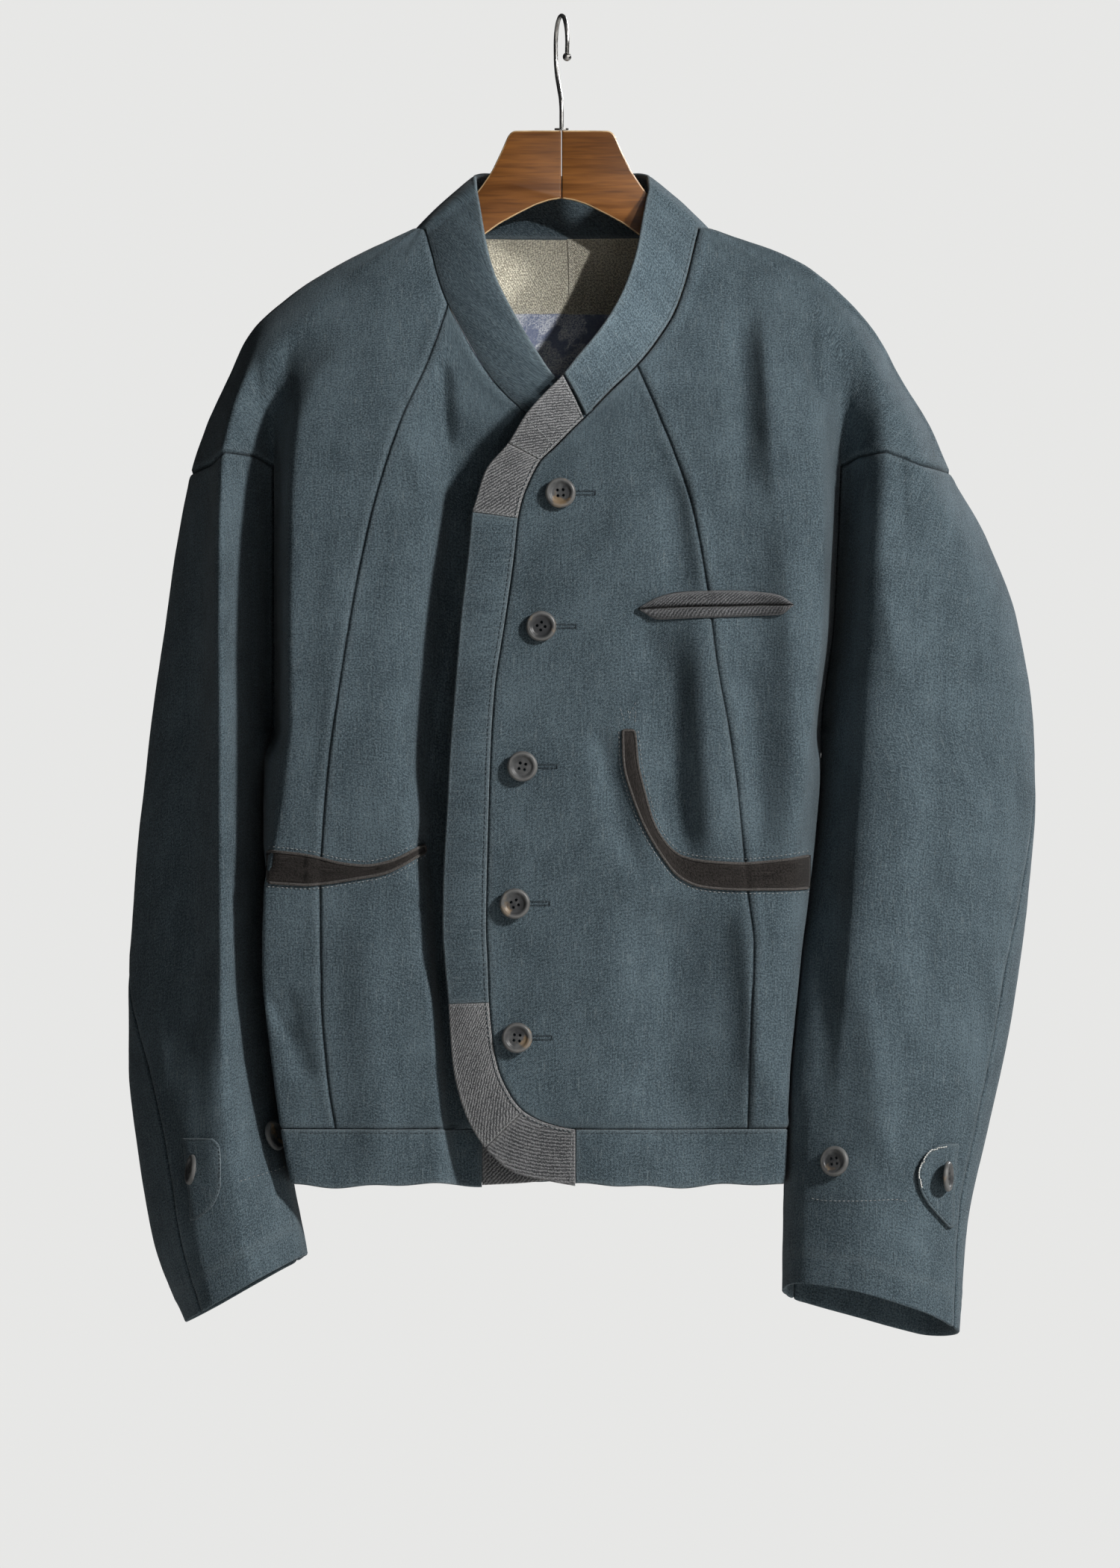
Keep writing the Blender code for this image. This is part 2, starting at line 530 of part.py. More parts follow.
def front_panel(name, side, inner_x, outer_x, z, mat, n_main, cap=False, wall=False):
    """A panel of a front between two x outlines; with cap it goes on over the shoulder to the edge of
    the sleeve, and with wall round to the side seam below the underarm."""
    z = np.array(z, float)
    s_in = front_station(side, z, inner_x(z))
    s_out = np.full(len(z), 4.0) if outer_x is None else front_station(side, z, outer_x(z))
    if outer_x is None:
        s = np.hstack([s_in[:, None] + (3 - s_in)[:, None] * np.linspace(0, 1, n_main + 1)[:-1],
                       np.tile(np.linspace(3, 4, 4), (len(z), 1))])
        n_main += 3
    else:
        s = s_in[:, None] + (s_out - s_in)[:, None] * np.linspace(0, 1, n_main + 1)
    levels = np.repeat(z[:, None], n_main + 1, 1)
    keep = np.ones((len(z) - 1, n_main), bool)
    if cap or wall:
        q = np.linspace(0, 4, 9)[1:]
        top = z >= ARMHOLE
        levels[:, -1] = below(z)
        extra = np.where(top[:, None], 4 + q, 4 + np.ceil(q) / 4)
        extra_levels = np.where(top[:, None], cap_levels(z, q), below(z)[:, None])
        s, levels = np.hstack([s, extra]), np.hstack([levels, extra_levels])
        mid = 0.5 * (z[1:] + z[:-1])
        keep = np.hstack([keep, np.repeat(((mid > ARMHOLE) | (mid < UNDERARM))[:, None], len(q), 1)])
    total = np.array([front_index(side, lv, ss[:, None])[:, 0] for lv, ss in
                      zip(levels.T, s.T)]).T
    return cloth(name, torso_at(levels, total), torso_normal(levels, total), grid_faces(keep), mat,
                 shoulder_thickness(levels))


rows_all = ROWS_TOP + ROWS_ARM + ROWS_LOW + [HEM_SEAM]
for side in SIDES:
    princess = np.array(PRINCESS[side], float)
    start = princess[0, 1]
    seam = lambda z, side=side: seam_x(side, z)
    split = lambda z, p=princess: pchip(p[:, 1], p[:, 0], z)
    side_inner = lambda z, a=seam, b=split, z0=start: np.where(z >= z0, a(z), b(z))
    rows = sorted(set(rows_all) | {start}, reverse=True)
    front_panel(f"{side}_front_side", side, side_inner, None, rows, INDIGO, 2, cap=True, wall=True)
    centre_rows = [z for z in rows if z <= start]
    front_panel(f"{side}_front_centre", side, seam, split, centre_rows, INDIGO, 6)


def back_panel(name, z, mat):
    """The back, from shoulder seam to shoulder seam and from side seam to side seam."""
    z = np.array(z, float)
    q = np.linspace(0, 2, 5)[:-1]
    main = np.linspace(0, 4, 9)
    top = z >= ARMHOLE
    blocks = [np.where(top[:, None], 8 + q, 5 + q / 2),
              np.where((z >= UNDERARM)[:, None], 10 + main, 6 + main),
              np.where(top[:, None], 16 - q[::-1], 11 - q[::-1] / 2)]
    s = np.hstack(blocks)
    cap_q, wall_z = 4 + q, below(z)[:, None] + 0 * q
    main_z = np.repeat(z[:, None], len(main), 1)
    main_z[:, 0] = main_z[:, -1] = below(z)
    s[:, len(q)] = np.where(below(z) >= UNDERARM, 10, 6)
    s[:, -len(q) - 1] = np.where(below(z) >= UNDERARM, 14, 10)
    levels = np.hstack([np.where(top[:, None], cap_levels(z, cap_q), wall_z), main_z,
                        np.where(top[:, None], cap_levels(z, cap_q[::-1]), wall_z)])
    mid = 0.5 * (z[1:] + z[:-1])
    side_cells = np.repeat(((mid > ARMHOLE) | (mid < UNDERARM))[:, None], len(q), 1)
    keep = np.hstack([side_cells, np.ones((len(z) - 1, len(main) - 1), bool), side_cells])
    return cloth(name, torso_at(levels, s), torso_normal(levels, s), grid_faces(keep), mat,
                 shoulder_thickness(levels))


back_panel("back_panel", [z for z in rows_all if z <= NECK_SEAM], INDIGO)


def hem_band(name, s_from, s_to, n, mat):
    z = np.array([HEM_SEAM - 0.3, HEM])
    s = np.tile(np.linspace(s_from, s_to, n + 1), (2, 1))
    levels = np.repeat(z[:, None], n + 1, 1)
    return cloth(name, torso_at(levels, s), torso_normal(levels, s), grid_faces(np.ones((1, n), bool)),
                 mat, DOUBLE, lift=0.4)


z_hem = np.array([HEM_SEAM])
right_start = front_station("right", z_hem, np.array([CORNER["right"][-1][0]]))[0]
left_start = front_station("left", z_hem, np.array([CORNER["left"][-1][0]]))[0]
hem_band("hem_band_right_front", right_start, 5, 12, INDIGO)
hem_band("hem_band_back", 5, 11, 16, INDIGO)
hem_band("hem_band_left_front", 11, 16 - left_start, 12, INDIGO)


def sleeve_piece(name, side, under, mat):
    """Top or under half of a sleeve, between the seam under the arm and the back seam."""
    cuff = SLEEVE[side][-1][0]
    z = np.array([z for z in ROWS_ARM] + [UNDERARM] + [r for r in SLEEVE_ROWS if r > cuff + 12] + [cuff], float)
    seam = np.array(BACK_SEAM[side], float)
    back = pchip(seam[:, 0], seam[:, 1], z)
    if under:
        q_main = back[:, None] + (6 - back)[:, None] * np.linspace(0, 1, 4)
        q_wall = np.tile(np.linspace(6, 7, 5)[1:], (len(z), 1))
        q = np.hstack([q_main, q_wall])
        wall_cells = slice(3, 7)
    else:
        q_main = back[:, None] * np.linspace(0, 1, 10)
        q_wall = np.tile(np.linspace(-1, 0, 5)[:-1], (len(z), 1))
        q = np.hstack([q_wall, q_main])
        wall_cells = slice(0, 4)
    levels = np.where((z >= UNDERARM)[:, None], cap_levels(z, q), z[:, None])
    wall_columns = slice(3, 8) if under else slice(0, 5)
    levels[:, wall_columns] = below(z)[:, None]
    keep = np.ones((len(z) - 1, q.shape[1] - 1), bool)
    keep[0.5 * (z[1:] + z[:-1]) > UNDERARM, wall_cells] = False
    form = lambda zz, qq: sleeve(side, zz, qq)
    points = form(levels.ravel(), q.reshape(-1, 1)).reshape(q.shape + (3,))
    normal = normals(form, levels.ravel(), q.reshape(-1, 1)).reshape(q.shape + (3,))
    if side == "left":
        normal = -normal
    return cloth(name, points, normal, grid_faces(keep), mat)


for side in SIDES:
    sleeve_piece(f"{side}_sleeve_top", side, False, INDIGO)
    sleeve_piece(f"{side}_sleeve_under", side, True, INDIGO)


# ---- band round the neck and down the fronts --------------------------------------------------------

# Free edge of the neckband behind the neck, and the back neck stations it is sewn to.
BACK_NECK_COLUMNS = "station edge_x edge_d edge_z".split()
BACK_NECK = [(9.0, 57.0, -6, -104), (10.0, 49.0, -22, -101.5), (11.0, 28.0, -34, -102.5), (12.0, 0.0, -38, -103)]


def front_depth(side, x, z):
    """Depth of a front at (x, z), x outward."""
    z = np.asarray(z, float)
    s = front_station(side, z, np.asarray(x, float))
    return -torso(z, front_index(side, z, s[:, None]))[:, 0, 1]


def band_path(side):
    """Seam points and edge points of one side's band, from the shoulder to the hem corner."""
    rows = band_rows(side)
    sign = SIDES[side]
    depth = front_depth(side, rows[:, 0], np.minimum(rows[:, 1], NECK_SEAM))
    seam = np.stack([sign * rows[:, 0], -depth, rows[:, 1]], -1)
    edge = np.stack([sign * rows[:, 2], -(depth + rows[:, 4]), rows[:, 3]], -1)
    return seam, edge


def strip(name, seam, edge, mat, thick=DOUBLE, lift=0.5, crown=1.2, across=2, away=None):
    """A folded strip between a seam line and a free edge."""
    u = np.linspace(0, 1, across + 1)[None, :, None]
    points = seam[:, None] * (1 - u) + edge[:, None] * u
    along_way, over = np.gradient(points, axis=0), np.gradient(points, axis=1)
    normal = np.cross(along_way, over)
    normal /= np.maximum(np.linalg.norm(normal, axis=-1, keepdims=True), 1e-9)
    away = np.array([0, -1, 0]) if away is None else away
    if (normal * away).sum() < 0:
        normal = -normal
    points = points + normal * crown * np.sin(np.pi * u)
    keep = np.ones((len(seam) - 1, across), bool)
    return cloth(name, points, normal, grid_faces(keep), mat, thick, lift)


def band_stretch(side, first, last):
    """Seam and edge points between two rows of the table, the seam's at the panel's own levels."""
    seam, edge = band_path(side)
    t = np.arange(len(seam), dtype=float)
    top, low = np.interp([first, last], t, seam[:, 2])
    levels = [z for z in rows_all + [PRINCESS[side][0][1]] if low + 0.8 < z < top - 0.8]
    levels = np.array(sorted(levels + [top, low], reverse=True))
    at = np.interp(-levels, -seam[:, 2], t)
    sewn = torso(np.minimum(levels, NECK_SEAM), front_index(side, levels, np.zeros((len(levels), 1))))[:, 0]
    sewn[levels > NECK_SEAM] = seam[0]
    return sewn, pchip(t, edge, at)


def band_piece(name, side, first, last, mat):
    """Stretch of one side's band between two rows of its table, sampled at the panel's own levels."""
    return strip(name, *band_stretch(side, first, last), mat)


def neckband(name, mat):
    seams, edges = {}, {}
    for side, last in (("right", 9), ("left", 7)):
        seams[side], edges[side] = band_stretch(side, 0, last)
    rows = [dict(zip(BACK_NECK_COLUMNS, r)) for r in BACK_NECK]
    stations = np.array([r["station"] for r in rows] + [24 - r["station"] for r in rows[-2::-1]])
    signs = np.array([-1] * len(rows) + [1] * (len(rows) - 1))
    back = rows + rows[-2::-1]
    seam = torso(np.full(1, NECK_SEAM), stations[None])[0] + np.array([0, 0, 0.7])
    edge = np.array([[g * r["edge_x"], -r["edge_d"], r["edge_z"]] for g, r in zip(signs, back)])
    seam = np.concatenate([seams["right"][::-1], seam, seams["left"]])
    edge = np.concatenate([edges["right"][::-1], edge, edges["left"]])
    away = (seam + edge)[:, None] * np.array([1, 1, 0])
    return strip(name, seam, edge, mat, away=away)


neckband("neckband", INDIGO)
band_piece("lapel_patch_upper", "left", 7, 10, GREY)
band_piece("lapel_patch_lower", "left", 10, 13, GREY)
band_piece("front_band_left", "left", 13, 22, INDIGO)
band_piece("corner_patch_upper_left", "left", 22, 26, GREY)
band_piece("corner_patch_lower_left", "left", 26, 29, GREY)
band_piece("front_band_right", "right", 9.06, 22, INDIGO)
band_piece("corner_patch_right", "right", 22, 29, GREY)

# ---- pieces that lie on the fronts --------------------------------------------------------------------

# Outlines are (x, z) pairs, one line for each edge of the piece, read in step.
POCKETS = {
    "left": {"outer": [(40, -470), (41, -492), (46, -511), (53.5, -531), (64, -550), (76, -565), (88, -571),
                       (101, -573), (121, -574), (134, -574), (144, -574)],
             "inner": [(47, -470), (49.5, -492), (54, -511), (59.5, -530), (68.5, -545), (78, -552.5), (89, -555),
                       (102, -556), (119, -557), (134, -556), (146.5, -554)]},
    "right": {"outer": [(90, -549), (96, -553), (104, -558), (116, -563.5), (135, -567), (154, -570), (167, -571),
                        (179, -570.4), (188, -569.8)],
              "inner": [(91, -545), (97, -548), (105, -552.5), (114, -556), (128, -558.5), (144, -557),
                        (162, -552.5), (176, -550.4), (188, -549.2)]}}
WELT_TOP = [(50, -389.6), (63, -382.7), (78, -379.4), (109, -378.4), (130, -379.4), (143, -381.6), (151.5, -387.4)]
WELT_SLIT = [(50, -390.4), (63, -390), (78, -389.6), (109, -388.8), (130, -388.2), (143, -387.9), (151.5, -387.8)]
WELT_LOW = [(52, -393.6), (64, -397.4), (79, -397), (109, -396), (130, -395), (143, -394.5), (151, -393.8)]


def line_points(side, pairs):
    """Points and outward normals of a front at (x, z) pairs."""
    pairs = np.array(pairs, float)
    z = pairs[:, 1]
    s = front_station(side, z, pairs[:, 0])
    index = front_index(side, z, s[:, None])
    return torso(z, index)[:, 0], normals(torso, z, index)[:, 0]


def applied(name, side, first, second, mat, across=2, thick=LINING, lift=1.0, inset=0.0):
    """A piece laid on a front, between two outlines of matching (x, z) pairs."""
    first, second = np.array(first, float), np.array(second, float)
    u = np.linspace(inset, 1 - inset, across + 1)
    grid = first[:, None] * (1 - u)[None, :, None] + second[:, None] * u[None, :, None]
    points, normal = line_points(side, grid.reshape(-1, 2))
    keep = np.ones((len(first) - 1, across), bool)
    return cloth(name, points, normal, grid_faces(keep), mat, thick, lift + thick)


def tube(name, points, radius, mat, resolution=1):
    """A round cord, piping or wire as a poly curve with filled caps."""
    curve = bpy.data.curves.new(name, "CURVE")
    curve.dimensions = "3D"
    curve.bevel_depth, curve.bevel_resolution = radius * MM, resolution
    curve.use_fill_caps = True
    curve.render_resolution_u = 0
    spline = curve.splines.new("POLY")
    spline.points.add(len(points) - 1)
    for p, q in zip(spline.points, points):
        p.co = (*(Vector(q) * MM), 1)
    return add_object(name, curve, mat)


for side, edges in POCKETS.items():
    outer, inner = np.array(edges["outer"], float), np.array(edges["inner"], float)
    for edge in (outer, inner):
        edge[0] += 0.35 * (edge[1] - edge[0])
    applied(f"{side}_pocket_facing", side, outer, inner, BROWN, lift=1.4, inset=0.24)
    path = edges["inner"][::-1] + edges["outer"]
    at, out = line_points(side, path)
    t = np.arange(len(path), dtype=float)
    fine = np.linspace(0, len(path) - 1, 29)
    tube(f"{side}_pocket_piping", pchip(t, at + out * 3.0, fine), 1.1, GREY)
applied("chest_welt_upper", "left", WELT_SLIT, WELT_TOP, GREY, thick=1.4, lift=1.6, inset=0.04)
applied("chest_welt_lower", "left", WELT_LOW, WELT_SLIT, GREY, thick=1.4, lift=1.6, inset=0.04)

# ---- inside the back neck --------------------------------------------------------------------------------

FACING_TOP, FACING_LOW, LINING_LOW = -143.5, -194, -261
FACING_JOIN = 12.06      # the facing is pieced just left of the centre back, station 12


def inner_patch(name, z_top, z_low, stations, mat):
    """A layer inside the back, sampled as the back panel is."""
    z = np.array([z_top] + [z for z in rows_all if z_low <= z < z_top])
    s = np.tile(np.array(stations, float), (len(z), 1))
    keep = np.ones((len(z) - 1, len(stations) - 1), bool)
    return cloth(name, torso(z, s), normals(torso, z, s), grid_faces(keep), mat, LINING, -(CLOTH + 1.0))


inner_patch("neck_facing_right", FACING_TOP, FACING_LOW, [11, 11.5, 12, FACING_JOIN], CREAM)
inner_patch("neck_facing_left", FACING_TOP, FACING_LOW, [FACING_JOIN, 12.5, 13], CREAM)
inner_patch("neck_lining_patch", FACING_LOW, LINING_LOW, [11, 11.5, 12, 12.5, 13], MOTTLED)

# ---- cuff tabs ---------------------------------------------------------------------------------------------

# Rows of each tab: level, x of its free side, x where it leaves the back seam.
TABS = {"right": [(-737, 227, 248), (-742, 222.5, 247.5), (-754, 221.5, 246), (-767, 221.5, 244.5),
                  (-780, 226, 243), (-791, 238.5, 242)],
        "left": [(-740, 249, 259), (-744, 240.6, 259), (-751, 234, 258.5), (-759.5, 231, 258), (-768, 232, 257),
                 (-777, 236, 256.5), (-788, 245, 256), (-796, 252.5, 255.5)]}


def on_sleeve(side, x, z):
    """Level and station on the front of a sleeve where the cloth has the given x and height."""
    x, z = np.asarray(x, float), np.asarray(z, float)
    level, q = z.copy(), np.full(len(z), 2.0)
    tries = np.linspace(0.3, 4.0, 60)
    for _ in range(6):
        ring = sleeve(side, level, np.tile(tries, (len(z), 1)))
        q = np.array([np.interp(v, row * SIDES[side], tries) for v, row in zip(x, ring[..., 0])])
        level = level + z - sleeve(side, level, q[:, None])[:, 0, 2]
    return level, q


def sleeve_points(side, x, z):
    level, q = on_sleeve(side, x, z)
    form = lambda a, b: sleeve(side, a, b)
    return form(level, q[:, None])[:, 0], -SIDES[side] * normals(form, level, q[:, None])[:, 0]


for side, rows in TABS.items():
    rows = np.array(rows, float)
    u = np.linspace(0, 1, 4)
    x = rows[:, 1:2] + (rows[:, 2:3] - rows[:, 1:2]) * u
    z = np.repeat(rows[:, :1], len(u), 1)
    at, out = sleeve_points(side, x.ravel(), z.ravel())
    keep = np.ones((len(rows) - 1, len(u) - 1), bool)
    cloth(f"{side}_cuff_tab", at, out, grid_faces(keep), INDIGO, 1.8, 1.8 + 0.5)

# ---- buttons ---------------------------------------------------------------------------------------------

BUTTON_R = 10.0
BUTTON_PROFILE = [(10.0, 1.5), (9.4, 2.9), (8.2, 3.6), (6.8, 3.3), (5.6, 2.4), (0.0, 2.2)]
BUTTON_BACK = [(0.0, 0.0), (6.5, 0.0), (9.0, 0.5)]


def button(name, at, out, turn=0.0):
    """A turned horn button: dished face, raised rim. turn swings its face about the upright, in degrees."""
    profile = BUTTON_BACK + BUTTON_PROFILE
    mesh = bpy.data.meshes.new(name)
    mesh.from_pydata([(r * MM, 0, h * MM) for r, h in profile[::-1]], [(i, i + 1) for i in range(len(profile) - 1)], [])
    obj = add_object(name, mesh, HORN)
    screw = obj.modifiers.new("turn", "SCREW")
    screw.steps = screw.render_steps = 18
    screw.use_merge_vertices, screw.merge_threshold = True, 0.00005
    screw.use_smooth_shade = True
    face = Matrix.Rotation(math.radians(turn), 3, "Z") @ Vector(out)
    obj.matrix_world = Matrix.Translation(Vector(at) * MM) @ face.to_track_quat("Z", "Y").to_matrix().to_4x4()
    return obj


def button_seat(points, at, out, clear=0.45):
    """Centre of a button's back, just clear of the cloth under it."""
    near = points[np.linalg.norm(points - at, axis=1) < BUTTON_R + 1.5]
    height = ((near - at) @ out).max() if len(near) else 0.0
    return at + out * (height + clear)


FRONT_BUTTONS = [(-0.5, -314.6), (-13.2, -401.8), (-25.5, -493.4), (-30.4, -583.0), (-29.0, -670.8)]
CUFF_BUTTONS = [("left", "front", 179.3, -751.7, 0, 0.0), ("left", "tab", 242.0, -761.5, 46, 2.6),
                ("right", "tab", 229.5, -759.0, -50, 2.6), ("right", "front", 192.3, -737.0, -3, 2.4)]

disc = [(i * 2.5, j * 2.5) for i in range(-5, 6) for j in range(-5, 6)]
for number, (x, z) in enumerate(FRONT_BUTTONS, 1):
    around = np.array([(x + a, z + b) for a, b in disc])
    at, out = line_points("left", [(x, z)])
    face = out[0] + np.array([0, -1.0, 0])
    face = face / np.linalg.norm(face)
    cloud = line_points("left", around)[0]
    cloud[:, 1] -= 2.0 * (np.abs(around[:, 0] + 40) < 14)
    button(f"front_button_{number}", button_seat(cloud, at[0], face, 0.9), face)
for side, kind, x, z, turn, stack in CUFF_BUTTONS:
    at, out = sleeve_points(side, [x], [z])
    around = np.array([(x + a, z + b) for a, b in disc])
    cloud = sleeve_points(side, around[:, 0], around[:, 1])[0]
    face = np.array(Matrix.Rotation(math.radians(turn), 3, "Z") @ Vector(out[0]))
    button(f"{side}_cuff_{kind}_button", button_seat(cloud, at[0], face, 0.9 + stack), face)

# ---- hanger -----------------------------------------------------------------------------------------------

HANGER_DEPTH = 10.0
HANGER_TOP = [(0.2, -74.5), (20, -74.5), (32.5, -74.7), (35.2, -77.8), (39.4, -87.6), (45.8, -101), (54, -113),
              (62, -122.5), (76, -138), (100, -157), (130, -173), (160, -190), (185, -207), (195, -214)]
HANGER_LOW = [(198, -219), (195, -224), (187, -226), (160, -211), (130, -194), (100, -177), (75, -161),
              (52, -144), (41, -136), (28, -129), (17, -123.5), (8, -120.5), (0.2, -119.3)]
WIRE = 1.4
HOOK_TURN = math.radians(78)     # the hook's plane, turned away from the hanger's


def hanger_half(name, sign):
    curve = bpy.data.curves.new(name, "CURVE")
    curve.dimensions, curve.fill_mode, curve.extrude = "2D", "BOTH", HANGER_DEPTH / 2 * MM
    spline = curve.splines.new("POLY")
    outline = HANGER_TOP + HANGER_LOW
    spline.points.add(len(outline) - 1)
    for p, (x, z) in zip(spline.points, outline):
        p.co = (sign * x * MM, z * MM, 0, 1)
    spline.use_cyclic_u = True
    obj = add_object(name, curve, WOOD)
    obj.rotation_euler.x = math.radians(90)
    joined = obj.modifiers.new("weld", "WELD")
    joined.merge_threshold = 0.00005
    chamfer = obj.modifiers.new("chamfer", "BEVEL")
    chamfer.width, chamfer.segments, chamfer.limit_method = 1.6 * MM, 1, "ANGLE"
    chamfer.angle_limit = math.radians(60)
    return obj


hanger_half("hanger_half_right", -1)
hanger_half("hanger_half_left", 1)

bend = 17.0 + WIRE
hook = [(0, -73.6), (0, -62), (-2.0, -54), (-8.0, -46), (-14.5, -37), (-18.0, -27)]
hook += [(-bend * math.cos(a), -17 + bend * math.sin(a)) for a in np.radians(np.arange(0, 181, 18))]
hook += [(bend - 0.4, -20.5), (bend - 0.9, -23.0)]
plane = Vector((math.cos(HOOK_TURN), -math.sin(HOOK_TURN), 0))
tube("hanger_hook", [plane * p + Vector((0, 0, z)) for p, z in hook], WIRE, STEEL, resolution=2)
bpy.ops.mesh.primitive_uv_sphere_add(segments=16, ring_count=8, radius=2.9 * MM)
ball = bpy.context.object
ball.name = ball.data.name = "hook_ball"
ball.location = (plane * (bend - 1.1) + Vector((0, 0, -26.5))) * MM
ball.data.shade_smooth()
ball.data.materials.append(STEEL)
for holder in list(ball.users_collection):
    holder.objects.unlink(ball)
jacket.objects.link(ball)
ball.parent = root

mesh = bpy.data.meshes.new("hook_washer")
mesh.from_pydata([(r * MM, 0, z * MM) for r, z in [(1.8, 0), (1.8, 1.2), (4.6, 1.2), (4.6, 0)]],
                 [(0, 1), (1, 2), (2, 3), (3, 0)], [])
washer = add_object("hook_washer", mesh, STEEL)
ring = washer.modifiers.new("turn", "SCREW")
ring.steps = ring.render_steps = 20
ring.use_merge_vertices, ring.merge_threshold = True, 0.00005
washer.location.z = -74.1 * MM
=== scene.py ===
# %% [markdown]
# # Patched boro jacket on a wooden hanger
#
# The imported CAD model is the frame. Its solids give every place and size; this script dresses them.
# Each piece that a maker would cut gets its own fine sheet, worked out from the same horizontal
# sections as the solids, so that a seam here is a seam there. Creases, seam grooves, stitches,
# buttons and materials are added on top. The wearer's right is -X, the front faces -Y and +Z is up.

# %%
import math

import bmesh
import bpy
import numpy as np
from mathutils import Matrix, Vector
from mathutils.bvhtree import BVHTree
from mathutils.kdtree import KDTree


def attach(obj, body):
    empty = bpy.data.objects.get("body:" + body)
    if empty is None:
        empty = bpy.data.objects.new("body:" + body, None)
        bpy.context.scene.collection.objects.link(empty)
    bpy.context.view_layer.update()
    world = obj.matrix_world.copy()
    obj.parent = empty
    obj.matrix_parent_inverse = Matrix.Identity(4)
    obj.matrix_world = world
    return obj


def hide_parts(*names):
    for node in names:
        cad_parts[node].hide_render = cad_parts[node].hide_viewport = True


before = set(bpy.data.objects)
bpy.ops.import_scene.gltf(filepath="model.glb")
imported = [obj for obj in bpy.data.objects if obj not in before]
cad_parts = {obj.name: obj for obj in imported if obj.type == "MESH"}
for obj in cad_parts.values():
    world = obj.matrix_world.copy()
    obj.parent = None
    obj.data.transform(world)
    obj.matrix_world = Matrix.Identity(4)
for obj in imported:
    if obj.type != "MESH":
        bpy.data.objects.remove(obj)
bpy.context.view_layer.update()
MM = 0.001
SIDES = {"right": -1, "left": 1}
STEP = 2.5          # spacing of the cloth's vertices, in millimetres

# %% [markdown]
# ## Sections
#
# Levels and tables are those of the solids, in millimetres. x is measured outward from the centre
# line and d forward of the hanger. A row is one level; the columns are the named stations that the
# cloth passes through, from the band seam round the chest, the armhole valley, the sleeve and the back.

# %%
ARMHOLE = -296.0         # level of the dropped shoulder's seam, over the sleeve
UNDERARM = -468.0        # level where body and sleeves part
HEM_SEAM = -731.0
HEM = -768.0
NECK_SEAM = -141.0       # back neck

# Front of the body: seam_d is the depth at the band seam; lap, front, chest and valley are stations.
# Below the underarm the valley becomes the front of the side wall.
CHEST_COLUMNS = "z seam_d lap_x lap_d front_x front_d chest_x chest_d valley_x valley_d".split()
CHEST = {
    "right": [
        (-138, 3, 90.8, 3, 91.5, 3, 92.2, 2, 93, 2),
        (-160, 18, 92, 17.5, 99, 17, 109, 15, 122, 12),
        (-182, 28, 90, 27.5, 104, 27, 122, 25, 145, 20),
        (-208, 39, 84, 40, 108, 40, 136, 38, 169, 31),
        (-239, 50, 80, 52, 112, 56, 158, 53, 187, 34),
        (-270, 56, 74, 55, 106, 67, 171, 64, 190, 26),
        (-300, 57, 66, 55, 98, 73, 175, 70, 190, 18),
        (-345, 58, 64, 55, 92, 78, 176, 76, 190, 10),
        (-400, 60, 68, 56, 97, 82, 177, 80, 190, 4),
        (-468, 62, 74, 57, 103, 86, 177, 82, 190, 0),
        (-490, 62, 75, 57, 103, 86, 178, 82, 195.5, 28),
        (-540, 62, 76, 58, 103, 87, 187, 80, 196, 33),
        (-575, 62, 76, 60, 98, 86, 195, 79, 193, 22),
        (-620, 62, 76, 62, 92, 85, 196, 78, 188.5, 0),
        (-700, 62, 72, 66, 84, 83, 188.5, 76, 179, 2),
        (-768, 63, 66, 68, 82, 84, 177, 78, 171, 4)],
    "left": [
        (-138, 3, 91.2, 3, 91.8, 3, 92.4, 2, 93, 2),
        (-160, 18, 94, 18, 104, 17, 117, 15, 132, 11),
        (-182, 28, 94, 29, 112, 29, 132, 27, 155, 19),
        (-208, 41, 88, 45, 118, 46, 146, 42, 172, 32),
        (-239, 58, 76, 62, 120, 62, 158, 56, 184, 36),
        (-270, 70, 62, 74, 120, 74, 166, 66, 185, 28),
        (-300, 78, 50, 82, 116, 80, 168, 72, 184, 20),
        (-345, 84, 44, 88, 110, 84, 171, 76, 182, 12),
        (-400, 89, 40, 92, 106, 88, 170, 78, 179, 5),
        (-468, 93, 36, 95, 104, 90, 163, 80, 171, 0),
        (-490, 94, 35, 95.5, 103, 90, 160, 80, 170.5, 28),
        (-540, 94, 34, 96, 100, 89, 152, 80, 167, 34),
        (-620, 92, 30, 94, 92, 86, 139, 78, 157, 54),
        (-700, 91, 28, 92, 88, 84, 133, 78, 149.5, 64),
        (-768, 90, 28, 91, 86, 84, 131, 80, 146, 70)],
}
